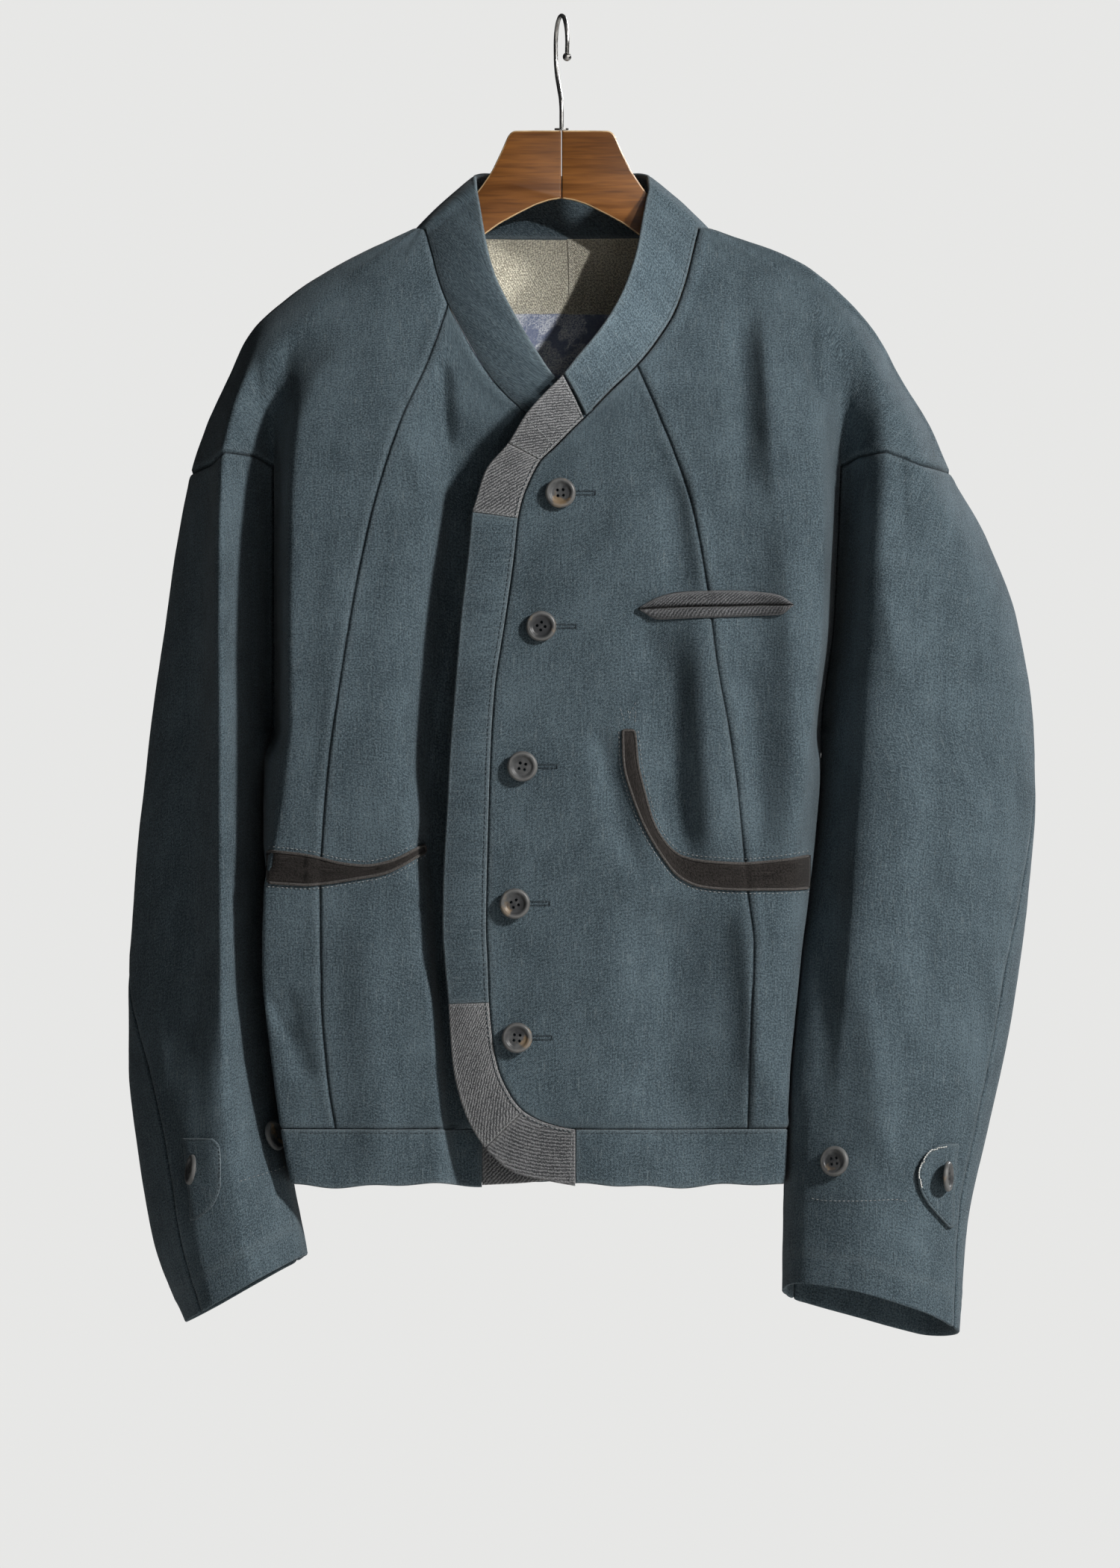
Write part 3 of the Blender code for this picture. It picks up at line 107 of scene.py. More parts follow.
# Outside of the shoulder and upper sleeve, from the valley out to the edge.
ARM_COLUMNS = "z inner_x inner_d ridge_x ridge_d dip_x dip_d edge_x edge_d".split()
ARM = {
    "right": [
        (-138, 93.4, 1, 94, 0.6, 94.6, 0.3, 96, 0),
        (-160, 128, 9, 133, 7, 138, 4, 142, -1),
        (-182, 154, 17, 163, 13, 171, 8, 177, -2),
        (-208, 181, 28, 190, 23, 198, 15, 205, -2),
        (-239, 198, 36, 207, 36, 214, 24, 220, -2),
        (-270, 200, 38, 217, 48, 225, 32, 234, -2),
        (-300, 201, 34, 222, 56, 231, 36, 244, -2),
        (-345, 202, 30, 224, 62, 234, 38, 253, -3),
        (-400, 202, 26, 224, 65, 236, 40, 261, -3),
        (-468, 202, 26, 223, 66, 238, 42, 271, -4)],
    "left": [
        (-138, 93.6, 1, 94.4, 0.6, 95, 0.3, 96, 0),
        (-160, 139, 8, 145, 6, 150, 3.5, 155, -1),
        (-182, 164, 16, 172, 12, 178, 7, 184, -2),
        (-208, 182, 28, 191, 24, 199, 16, 207, -2),
        (-239, 195, 36, 206, 38, 215, 28, 224, -2),
        (-270, 196, 38, 212, 50, 228, 40, 243, -2),
        (-300, 195, 34, 214, 56, 237, 47, 256, -3),
        (-345, 191, 30, 214, 60, 252, 48, 281, -4),
        (-400, 187, 28, 217, 62, 262, 48, 301, -5),
        (-468, 180, 28, 223, 63, 268, 48, 311, -6)],
}
# Back of the sleeve head and of the body; these depths are behind the hanger.
BACK_COLUMNS = "z rear_x rear_b fold_x fold_b blade_x blade_b centre_b".split()
BACK = {
    "right": [
        (-138, 92, 6, 83, 18, 62, 34, 44),
        (-160, 134, 9, 122, 20, 84, 38, 48),
        (-182, 168, 14, 150, 28, 94, 44, 52),
        (-208, 195, 18, 174, 36, 104, 50, 56),
        (-239, 210, 26, 188, 40, 114, 56, 60),
        (-270, 222, 34, 194, 40, 122, 60, 63),
        (-300, 228, 42, 197, 37, 128, 63, 65),
        (-345, 236, 48, 197, 33, 134, 66, 68),
        (-400, 242, 52, 196, 30, 138, 69, 71),
        (-468, 248, 55, 193, 30, 142, 72, 74),
        (-490, 0, 0, 187, 32, 144, 73, 75),
        (-540, 0, 0, 186, 36, 148, 74, 76),
        (-620, 0, 0, 187, 38, 148, 75, 77),
        (-700, 0, 0, 182, 38, 146, 76, 78),
        (-768, 0, 0, 174, 38, 142, 77, 79)],
    "left": [
        (-138, 92, 6, 83, 18, 62, 34, 44),
        (-160, 146, 9, 130, 20, 84, 38, 48),
        (-182, 175, 14, 156, 28, 94, 44, 52),
        (-208, 198, 18, 176, 36, 104, 50, 56),
        (-239, 214, 26, 188, 40, 114, 56, 60),
        (-270, 230, 34, 192, 40, 122, 60, 63),
        (-300, 240, 42, 192, 37, 128, 63, 65),
        (-345, 256, 46, 190, 33, 132, 66, 68),
        (-400, 270, 48, 186, 30, 134, 69, 71),
        (-468, 278, 48, 176, 30, 134, 72, 74),
        (-490, 0, 0, 167, 32, 135, 73, 75),
        (-540, 0, 0, 160, 36, 136, 74, 76),
        (-620, 0, 0, 150, 38, 132, 75, 77),
        (-700, 0, 0, 143.5, 38, 128, 76, 78),
        (-768, 0, 0, 140, 38, 124, 77, 79)],
}
# Sleeves below the underarm. under_x is the wall beside the body; swing carries the section forward;
# tilt_x and tilt_d lean the section, outward and forward, as it nears the cuff.
SLEEVE_COLUMNS = ("z under_x inner_x inner_d ridge_x ridge_d dip_x dip_d edge_x edge_d rear_x rear_d "
                  "swing tilt_x tilt_d").split()
SLEEVE = {
    "right": [
        (-505, 197.0, 203, 30, 223, 66, 240, 44, 275, -4, 248, -58, 0, 0, 0),
        (-578, 195.0, 203, 32, 222, 67, 240, 46, 282, -4, 250, -60, 2, 0, 0),
        (-645, 192.0, 201, 32, 222, 66, 241, 48, 285, -4, 250, -60, 8, 0, 0),
        (-690, 189.5, 199, 32, 222, 64, 242, 50, 285, -3, 248, -56, 16, 0, 0),
        (-735, 185.0, 196, 31, 220, 60, 241, 50, 279, -2, 242, -50, 30, -0.10, 0),
        (-785, 176.5, 188, 30, 214, 54, 237, 48, 268, 0, 232, -44, 44, -0.34, 0),
        (-830, 168.5, 180, 28, 206, 48, 228, 44, 247, 2, 218, -40, 52, -0.56, 0.05)],
    "left": [
        (-513, 170.5, 182, 32, 224, 63, 270, 48, 312, -4, 282, -46, 6, 0, 0),
        (-580, 162.0, 174, 35, 220, 63, 267, 48, 307, -4, 276, -44, 16, 0, 0),
        (-652, 154.5, 166, 36, 213, 60, 259, 46, 297, -3, 266, -42, 30, 0, 0),
        (-723, 149.5, 161, 35, 205, 55, 247, 43, 281, -2, 252, -40, 44, -0.06, 0.04),
        (-785, 147.5, 158, 33, 201, 50, 238, 39, 266, 0, 240, -38, 53, -0.14, 0.14),
        (-845, 146.5, 157, 32, 199, 46, 235, 36, 261, 0, 234, -36, 58, -0.24, 0.24)],
}
# Band round the neck and down the fronts: its seam, its free edge and how far the edge stands forward
# of the seam. The right front repeats the left front's run where the overlap hides it.
BAND_COLUMNS = "seam_x seam_z edge_x edge_z rise".split()
NECK = {
    "right": [
        (90.0, -138, 56.0, -112, 3), (86.0, -152, 53.0, -130, 6), (80.5, -173, 49.5, -150, 8),
        (74.5, -189, 44.0, -170, 9), (66.0, -205, 35.0, -189, 10), (56.0, -223, 25.5, -206, 9),
        (43.0, -242, 15.0, -223, 7), (27.0, -258, 5.0, -237, 4)],
    "left": [
        (90.6, -138, 57.5, -112, 3), (87.0, -153, 54.0, -130, 6), (82.0, -173, 50.0, -152, 8),
        (74.5, -194, 42.5, -176, 9), (63.0, -213, 33.0, -195, 10), (49.5, -230, 22.0, -211, 10),
        (34.0, -245, 12.0, -223, 9), (14.7, -265, 1.0, -237, 8)],
}
FRONT_EDGE = [
    (5.4, -274, -13.0, -251, 8), (-4.4, -284, -24.0, -264, 8), (-13.7, -293, -35.0, -282, 7),
    (-19.5, -303, -50.0, -300, 5), (-26.5, -321, -56.0, -319, 3), (-28.6, -331, -58.5, -327, 2),
    (-31.0, -354, -61.0, -352, 1), (-37.0, -397, -66.0, -396, 0), (-44.0, -444, -70.0, -444, -1),
    (-46.5, -482, -73.0, -482, -2), (-48.0, -529, -75.5, -529, -2), (-49.0, -566, -77.5, -566, -2),
    (-49.5, -598, -78.0, -598, -2), (-48.5, -622, -76.5, -623, -2), (-47.5, -648, -74.0, -649, -1)]
CORNER = {
    "left": [(-45.6, -670, -73.0, -668, -1), (-42.0, -690, -71.0, -690, 0), (-34.0, -708, -64.5, -717, 0),
             (-25.0, -719, -50.0, -743, 0), (-12.0, -726, -30.0, -759.5, 0), (-1.5, -729, -10.0, -764.5, 0),
             (9.0, -731, 9.0, -768, 0)],
    "right": [(-45.6, -670, -73.0, -668, -1), (-41.0, -690, -70.0, -692, 0), (-30.0, -708, -60.0, -722, 0),
              (-14.0, -719, -38.0, -748, 0), (8.0, -726, -10.0, -761, 0), (30.0, -729.5, 24.0, -766.5, 0),
              (52.0, -731, 52.0, -768, 0)],
}
# Seam from the neck down each front, over the pockets, to the hem.
PRINCESS = {
    "right": [(74.5, -189), (89, -230), (107, -270), (126, -333), (144, -431), (154, -505), (158, -571),
              (157.5, -640), (153, -700), (148, -731)],
    "left": [(49.5, -230), (63, -261), (75, -291), (85, -321), (96, -380), (103, -430), (112, -480),
             (118, -530), (122, -577), (126, -610), (124, -660), (122, -731)],
}
# Back seam of each sleeve as a station: 4 is the outer edge, more is behind it, less is in front.
BACK_SEAM = {"right": [(-296, 4.5), (-560, 4.5), (-630, 4.0), (-700, 3.55), (-760, 3.4), (-830, 3.35)],
             "left": [(-296, 4.5), (-430, 4.3), (-490, 4.0), (-570, 3.75), (-640, 3.6), (-720, 3.6),
                      (-845, 3.7)]}
# Largest folds: a line from (x, z) to (x, z), its half width and how far it stands out (or sinks in).
FOLD_COLUMNS = "x_top z_top x_low z_low half out".split()
FOLDS = {
    "left": [
        (124, -188, 125, -290, 11, -3.5), (162, -204, 168, -252, 9, -3.0), (71, -300, 80, -385, 14, -4.0),
        (74, -418, 80, -560, 15, -6.0), (96, -575, 100, -765, 34, -5.0), (22, -470, 52, -565, 13, -3.0),
        (118, -585, 130, -700, 12, 4.0), (246, -470, 240, -640, 16, -4.0), (200, -640, 214, -760, 14, 3.5)],
    "right": [
        (78, -228, 76, -285, 8, -2.5), (180, -640, 168, -700, 10, -3.5), (128, -590, 120, -760, 20, 4.0)]}
# %% [markdown]
# ### Creases
#
# The solids have the large folds in FOLDS. These finer ones are placed one by one: a crease runs
# from its top through a middle point to its low end; in_half and out_half are its half widths towards
# and away from the centre line, sharp is 1 for a crisp line and 2 for a soft one, and out is how far
# it stands out of the cloth, or sinks in.

# %%
CREASE_COLUMNS = "x_top z_top x_mid z_mid x_low z_low in_half out_half sharp out".split()
CREASES = {
    "left": [
        (131, -182, 135, -250, 142, -338, 11, 26, 1.6, 7.0),
        (115, -188, 118, -250, 121, -325, 13, 8, 1.8, -3.0),
        (143, -305, 152, -440, 149, -585, 17, 22, 1.8, 8.0),
        (163, -188, 165, -225, 166, -262, 6, 6, 1.6, -3.5),
        (191, -203, 186, -290, 181, -385, 10, 8, 1.7, -5.0), (85, -290, 89, -335, 97, -380, 16, 8, 1.7, 3.0),
        (56, -372, 62, -470, 76, -566, 16, 20, 1.8, -7.0), (92, -372, 95, -475, 102, -572, 17, 24, 1.8, 8.0),
        (118, -410, 127, -480, 130, -570, 12, 12, 1.8, -3.0),
        (70, -575, 68, -650, 66, -752, 30, 26, 2.0, -10.0),
        (146, -570, 150, -650, 144, -752, 44, 26, 2.0, 11.0),
        (24, -455, 34, -515, 50, -570, 10, 12, 1.8, -2.4), (213, -380, 219, -412, 223, -444, 8, 7, 1.8, 2.6),
        (223, -285, 224, -312, 224, -340, 6, 5, 1.5, -3.0),
        (203, -262, 197, -480, 178, -745, 11, 26, 1.8, 12.0),
        (262, -330, 274, -430, 270, -560, 12, 10, 2.0, -1.8),
        (286, -420, 292, -520, 282, -640, 9, 9, 2.0, 1.4)],
    "right": [
        (201, -205, 196, -300, 190, -420, 6, 9, 1.6, -5.0),
        (180, -210, 182, -260, 186, -330, 8, 5, 1.6, -4.0),
        (78, -225, 77, -255, 74, -288, 7, 6, 1.8, -2.4), (70, -318, 90, -430, 92, -540, 14, 18, 1.8, -10.0),
        (90, -520, 88, -580, 82, -650, 11, 14, 1.8, -7.0), (89, -583, 96, -584, 104, -581, 4, 3, 1.5, -1.6),
        (191, -640, 184, -660, 173, -680, 6, 6, 1.6, -3.0),
        (140, -330, 150, -410, 146, -500, 16, 14, 2.0, 2.0),
        (222, -236, 224, -480, 222, -742, 6, 4, 1.4, 2.8), (196, -320, 200, -430, 198, -560, 6, 8, 1.9, -1.8),
        (244, -420, 250, -520, 246, -640, 12, 10, 2.0, -2.4),
        (262, -560, 266, -640, 258, -720, 8, 8, 2.0, 1.8)]}
BACK_CREASES = {
    "left": [
        (66, -250, 78, -340, 70, -480, 20, 26, 2.0, -4.6),
        (128, -210, 138, -330, 128, -470, 16, 12, 1.9, 5.1),
        (52, -360, 46, -540, 54, -728, 20, 20, 2.0, 4.6), (96, -420, 104, -560, 96, -728, 16, 20, 2.0, -6.8),
        (168, -240, 166, -300, 158, -380, 9, 12, 1.8, -5.1),
        (230, -330, 238, -470, 226, -640, 14, 16, 2.0, -5.1),
        (262, -420, 262, -560, 240, -720, 10, 14, 2.0, 4.1)],
    "right": [
        (58, -255, 64, -360, 58, -500, 20, 24, 2.0, -4.8),
        (120, -220, 132, -340, 134, -480, 14, 12, 1.9, 4.4),
        (44, -420, 38, -570, 46, -728, 16, 22, 2.0, -4.6), (84, -480, 92, -600, 88, -728, 20, 16, 2.0, 5.1),
        (140, -520, 144, -620, 134, -728, 14, 12, 2.0, -5.8),
        (172, -250, 170, -310, 164, -400, 9, 10, 1.8, -4.4),
        (222, -340, 226, -480, 222, -640, 12, 12, 2.0, -4.4),
        (238, -500, 240, -600, 226, -720, 9, 12, 2.0, 3.7)]}
SHOULDER = 3.86          # the back comes over the shoulder to this station of the sleeve head


def smooth(t):
    t = np.clip(t, 0, 1)
    return t * t * (3 - 2 * t)


def pchip(t, v, q):
    """Shape-preserving cubic through v (rows at t): it never passes a table's values."""
    t, v, q = np.asarray(t, float), np.asarray(v, float), np.asarray(q, float)
    if t[0] > t[-1]:
        t, v = t[::-1], v[::-1]
    h = np.diff(t).reshape((-1,) + (1,) * (v.ndim - 1))
    rate = np.diff(v, axis=0) / h
    slope = np.empty_like(v)
    slope[0], slope[-1] = rate[0], rate[-1]
    a, b = rate[:-1], rate[1:]
    w1, w2 = 2 * h[1:] + h[:-1], h[1:] + 2 * h[:-1]
    same = a * b > 0
    slope[1:-1] = np.where(same, (w1 + w2) / (w1 / np.where(same, a, 1) + w2 / np.where(same, b, 1)), 0)
    k = np.clip(np.searchsorted(t, q, side="right") - 1, 0, len(t) - 2)
    u = np.clip((q - t[k]) / (t[k + 1] - t[k]), 0, 1).reshape(q.shape + (1,) * (v.ndim - 1))
    step = (t[k + 1] - t[k]).reshape(u.shape)
    return ((2 * u ** 3 - 3 * u ** 2 + 1) * v[k] + (u ** 3 - 2 * u ** 2 + u) * step * slope[k]
            + (3 * u ** 2 - 2 * u ** 3) * v[k + 1] + (u ** 3 - u ** 2) * step * slope[k + 1])


def columns(rows, names, z):
    rows = np.array(rows, float)
    return dict(zip(names, pchip(rows[:, 0], rows, z).T))


def band_rows(side):
    return np.array(NECK[side] + FRONT_EDGE + CORNER[side], float)


def seam_x(side, z):
    rows = band_rows(side)
    return pchip(rows[:, 1], rows[:, 0], z)


def arm_rows(side):
    """The sleeve head's stations and the sleeve's in one table, so that it runs smoothly past the underarm."""
    rear = {row[0]: (row[1], -row[2]) for row in BACK[side]}
    rows = [row + rear[row[0]] for row in ARM[side]]
    for row in SLEEVE[side]:
        r = dict(zip(SLEEVE_COLUMNS, row))
        rows.append((r["z"],) + sum(((r[k + "_x"], r[k + "_d"] + r["swing"])
                                     for k in ("inner", "ridge", "dip", "edge", "rear")), ()))
    return rows


ARM_NAMES = "z inner_x inner_d ridge_x ridge_d dip_x dip_d edge_x edge_d rear_x rear_d".split()


def round_body(z, beside):
    """Sections of the body from the right band seam round to the left one, the centre back between
    them. beside gives a side's stations between its valley and its back fold."""
    half = {}
    for side, sign in SIDES.items():
        c = columns(CHEST[side], CHEST_COLUMNS, z)
        b = columns(BACK[side], BACK_COLUMNS, z)
        pairs = [(seam_x(side, z), c["seam_d"])]
        pairs += [(c[k + "_x"], c[k + "_d"]) for k in ("lap", "front", "chest", "valley")]
        pairs += beside(side, z, c, b)
        pairs += [(b["fold_x"], -b["fold_b"]), (b["blade_x"], -b["blade_b"])]
        half[side] = [np.stack([sign * x, d], -1) for x, d in pairs]
    centre = np.stack([0 * z, -b["centre_b"]], -1)
    return np.stack(half["right"] + [centre] + half["left"][::-1], 1)


def sleeve_head(side, z, chest, back):
    """Above the underarm: the sleeve's stations, which make 25 in all."""
    a = columns(arm_rows(side), ARM_NAMES, z)
    return [(a[k + "_x"], a[k + "_d"]) for k in ("inner", "ridge", "dip", "edge", "rear")]


def side_seam(side, z, chest, back):
    """Below the underarm: the side seam, which makes 17 in all."""
    return [(0.5 * (chest["valley_x"] + back["fold_x"]), 0.5 * (chest["valley_d"] - back["fold_b"]))]


def sleeve_stations(side):
    """Closed sections of a sleeve below the underarm, as a function of the level."""
    c, b = columns(CHEST[side], CHEST_COLUMNS, [UNDERARM]), columns(BACK[side], BACK_COLUMNS, [UNDERARM])
    wall = [(UNDERARM, c["valley_x"][0], c["valley_d"][0], b["fold_x"][0], -b["fold_b"][0],
             0.5 * (c["valley_x"] + b["fold_x"])[0], 0.5 * (c["valley_d"] - b["fold_b"])[0], 0, 0)]
    for row in SLEEVE[side]:
        r = dict(zip(SLEEVE_COLUMNS, row))
        front_d, back_d = r["inner_d"] - 20 + r["swing"], r["rear_d"] + 16 + r["swing"]
        under = r["under_x"] - 1.8
        wall.append((r["z"], under + 2, front_d, under + 7, back_d, under,
                     0.5 * (front_d + back_d), r["tilt_x"], r["tilt_d"]))

    def stations(z):
        a = columns(arm_rows(side), ARM_NAMES, z)
        w = columns(wall, "z valley_x valley_d fold_x fold_d under_x under_d tilt_x tilt_d".split(), z)
        order = [w, a, a, a, a, a, w, w]
        names = "valley inner ridge dip edge rear fold under".split()
        ring = np.stack([np.stack([t[k + "_x"], t[k + "_d"]], -1) for t, k in zip(order, names)], 1)
        mid = ring.mean(1)
        ring = np.concatenate([ring[:, -3:], ring, ring[:, :4]], 1)
        return ring, mid, np.stack([w["tilt_x"], w["tilt_d"]], -1)
    return stations


def along(stations, row, s):
    """Points at the station numbers s of the smooth curves through the stations of each row."""
    rate = np.diff(stations, axis=1)
    slope = np.empty_like(stations)
    slope[:, 0], slope[:, -1] = rate[:, 0], rate[:, -1]
    a, b = rate[:, :-1], rate[:, 1:]
    same = a * b > 0
    slope[:, 1:-1] = np.where(same, 2 * a * b / np.where(same, a + b, 1), 0)
    k = np.clip(s.astype(int), 0, stations.shape[1] - 2)
    u = (s - k)[:, None]
    return ((2 * u ** 3 - 3 * u ** 2 + 1) * stations[row, k] + (u ** 3 - 2 * u ** 2 + u) * slope[row, k]
            + (3 * u ** 2 - 2 * u ** 3) * stations[row, k + 1] + (u ** 3 - u ** 2) * slope[row, k + 1])


def fold_depth(side, x, z):
    """How far one side's large folds push the cloth outward at (x, z), x outward."""
    out = np.zeros(np.broadcast(x, z).shape)
    for row in FOLDS[side]:
        f = dict(zip(FOLD_COLUMNS, row))
        run = (z - f["z_top"]) / (f["z_low"] - f["z_top"])
        across = (x - (f["x_top"] + np.clip(run, 0, 1) * (f["x_low"] - f["x_top"]))) / f["half"]
        out += f["out"] * np.exp(-1.6 * across ** 2) * smooth(np.minimum(run, 1 - run) * 4 + 0.35)
    return out


def crease_depth(rows, x, z):
    """The same for a table of creases."""
    out = np.zeros(x.shape)
    for row in rows:
        c = dict(zip(CREASE_COLUMNS, row))
        a, m, b = (np.array([c["x_" + k], c["z_" + k]]) for k in ("top", "mid", "low"))
        reach = 3 * max(c["in_half"], c["out_half"])
        low, high = np.min([a, m, b], 0) - reach, np.max([a, m, b], 0) + reach
        near = (x > low[0]) & (x < high[0]) & (z > low[1]) & (z < high[1])
        if not near.any():
            continue
        t = np.linspace(0, 1, 33)[:, None]
        path = a * (1 - t) ** 2 + 2 * (2 * m - (a + b) / 2) * t * (1 - t) + b * t * t
        way = np.gradient(path, axis=0)
        way /= np.linalg.norm(way, axis=1, keepdims=True)
        gap = np.stack([x[near], z[near]], -1)[:, None] - path
        k = (gap ** 2).sum(-1).argmin(1)
        gap = gap[np.arange(len(k)), k]
        across = way[k, 0] * gap[:, 1] - way[k, 1] * gap[:, 0]
        beyond = np.where((k == 0) | (k == 32), np.abs((way[k] * gap).sum(1)), 0)
        half = np.where(across > 0, c["out_half"], c["in_half"])
        spacing = np.linalg.norm(np.diff(path, axis=0), axis=1).mean()
        run = np.clip((k + np.clip((way[k] * gap).sum(1) / spacing, -0.5, 0.5)) / 32, 0, 1)
        fade = smooth(np.minimum(run, 1 - run) * 4) * np.exp(-beyond)
        out[near] += c["out"] * np.exp(-1.6 * (np.abs(across) / half) ** c["sharp"]) * fade
    return out


def to_space(xd, z, right):
    """(x, d) pairs at the levels z as points, with the folds and creases of that side."""
    x, d = xd[:, 0], xd[:, 1]
    front, back = np.clip((d - 20) / 30, 0, 1), np.clip((-d - 14) / 22, 0, 1)
    out, sunk = np.zeros(len(x)), np.zeros(len(x))
    for side, pick in (("right", right), ("left", ~right)):
        xo = x[pick] * SIDES[side]
        out[pick] = fold_depth(side, xo, z[pick]) + crease_depth(CREASES[side], xo, z[pick])
        sunk[pick] = crease_depth(BACK_CREASES[side], xo, z[pick])
    return np.stack([x, -(d + front * out) + back * sunk, z], -1)


def upper(z, index):
    level, row = np.unique(z, return_inverse=True)
    return to_space(along(round_body(level, sleeve_head), row, index), z, index < 12)


def lower(z, index):
    level, row = np.unique(z, return_inverse=True)
    return to_space(along(round_body(level, side_seam), row, index), z, index < 8)


def body(region, z, s):
    """The body: station 0 (band seam) to 4 (valley) of a front, or 0 to 4 across the back."""
    shape = np.broadcast(z, s).shape
    z, s = np.broadcast_to(z, shape).ravel(), np.broadcast_to(s, shape).ravel()
    high = {"right": s, "left": 24 - s, "back": 10 + s}[region]
    deep = {"right": s, "left": 16 - s, "back": 6 + s}[region]
    share = smooth((z - UNDERARM + 40) / 40)
    out = np.zeros((len(z), 3))
    for family, index, weight in ((upper, high, share), (lower, deep, 1 - share)):
        pick = weight > 0
        if pick.any():
            out[pick] += weight[pick, None] * family(z[pick], index[pick])
    return out.reshape(shape + (3,))


def head(side, z, q):
    """The sleeve head above the armhole seam: station 0 (valley), 4 (outer edge) to 6 (back fold)."""
    shape = np.broadcast(z, q).shape
    z, q = np.broadcast_to(z, shape).ravel(), np.broadcast_to(q, shape).ravel()
    return upper(z, 4 + q if side == "right" else 20 - q).reshape(shape + (3,))


def wall(side, z, w):
    """The body's side below the underarm: station 0 (valley), 1 (side seam) to 2 (back fold)."""
    shape = np.broadcast(z, w).shape
    z, w = np.broadcast_to(z, shape).ravel(), np.broadcast_to(w, shape).ravel()
    return lower(z, 4 + w if side == "right" else 12 - w).reshape(shape + (3,))


def sleeve(side, z, q):
    """A sleeve: stations 0 (valley) to 6 (back fold), and 7 under the arm below the underarm."""
    shape = np.broadcast(z, q).shape
    z, q = np.broadcast_to(z, shape).ravel(), np.broadcast_to(q, shape).ravel()
    out = np.empty((len(z), 3))
    up = z >= UNDERARM
    if up.any():
        out[up] = head(side, z[up], q[up])
    if (~up).any():
        level, row = np.unique(z[~up], return_inverse=True)
        ring, mid, tilt = sleeve_stations(side)(level)
        xd = along(ring, row, q[~up] + 3)
        height = z[~up] + (tilt[row] * (xd - mid[row])).sum(1)
        out[~up] = to_space(xd * np.array([SIDES[side], 1]), height, np.full(len(height), side == "right"))
    return out.reshape(shape + (3,))


def station_at(side, z, x):
    """Station (0 to 4) where a front has the given x, outward, at each level."""
    s = np.linspace(0, 4, 161)
    rows = body(side, np.asarray(z, float)[:, None], s[None])[..., 0] * SIDES[side]
    return np.array([np.interp(v, row, s) for v, row in zip(np.asarray(x, float), rows)])


def cap_bump(q):
    """The armhole seam rises over the front of the sleeve and drops at its outer edge."""
    return np.interp(q, [0, 1, 2, 3, 4, 6], [0, 6, 9, 1, -5, 0])


def cap_levels(z, q):
    """Levels bent so that the row at ARMHOLE follows the armhole seam."""
    return z + np.interp(z, [-345, ARMHOLE, -235], [0, 1, 0]) * cap_bump(q)


probe = body("left", np.array([-300.0, -600.0]), np.array([2.0, 2.0]))
print("left front, station 2:", np.round(probe, 1).tolist())
# %% [markdown]
# ## Making sheets
#
# A panel is one or more grids of points, welded where they meet. Its texture coordinates are distances
# on the cloth, so the weave keeps its scale. Near its edges the cloth turns in at the seam and puffs
# up a little beside it.

# %%
EDGE = np.array([0, 0.5, 1.2, 2.2, 3.6])      # vertices beside a seam, in millimetres from it
LOOKS = {}                                    # materials by name, filled below


def levels(top, low, *marks):
    """Levels from top to low through the marks, closer together near both ends."""
    marks = sorted({top, low, *(m for m in marks if low < m < top)}, reverse=True)
    z = [np.linspace(a, b, max(2, round((a - b) / STEP) + 1)) for a, b in zip(marks, marks[1:])]
    z = np.unique(np.round(np.concatenate(z + [top - EDGE, low + EDGE]), 3))[::-1]
    keep = [z[0]]
    for v in z[1:]:
        if keep[-1] - v > 0.35 or v in marks:
            keep.append(v)
    return np.array(keep)


def spaced(total, count):
    """Distances along rows of the given lengths, closer together near both ends."""
    near = EDGE * np.minimum(1, total / 30)[:, None]
    mid = near[:, -1:] + (total[:, None] - 2 * near[:, -1:]) * np.linspace(0, 1, count + 1)[1:-1]
    return np.hstack([near, mid, total[:, None] - near[:, ::-1]])


def across(region_form, z, first, last):
    """Station numbers evenly along each row between two station outlines, and their distances."""
    first, last = np.broadcast_to(first, z.shape), np.broadcast_to(last, z.shape)
    s = first[:, None] + (last - first)[:, None] * np.linspace(0, 1, 97)
    arc = np.linalg.norm(np.diff(region_form(z[:, None], s), axis=1), axis=2).cumsum(1)
    arc = np.hstack([0 * arc[:, :1], arc])
    at = spaced(arc[:, -1], max(3, round(arc[:, -1].max() / STEP)))
    return np.array([np.interp(a, b, c) for a, b, c in zip(at, arc, s)]), at


def grid(points, start=0.0):
    """A grid with texture coordinates: distance along each row, from start, and down the cloth."""
    run = np.linalg.norm(np.diff(points, axis=1), axis=2).cumsum(1)
    run = np.hstack([0 * run[:, :1], run]) + np.reshape(start, (-1, 1))
    drop = np.linalg.norm(np.diff(points, axis=0), axis=2)[::-1].cumsum(0)[::-1]
    drop = np.vstack([drop, 0 * drop[:1]])
    return points, np.stack([run, drop], -1) * MM


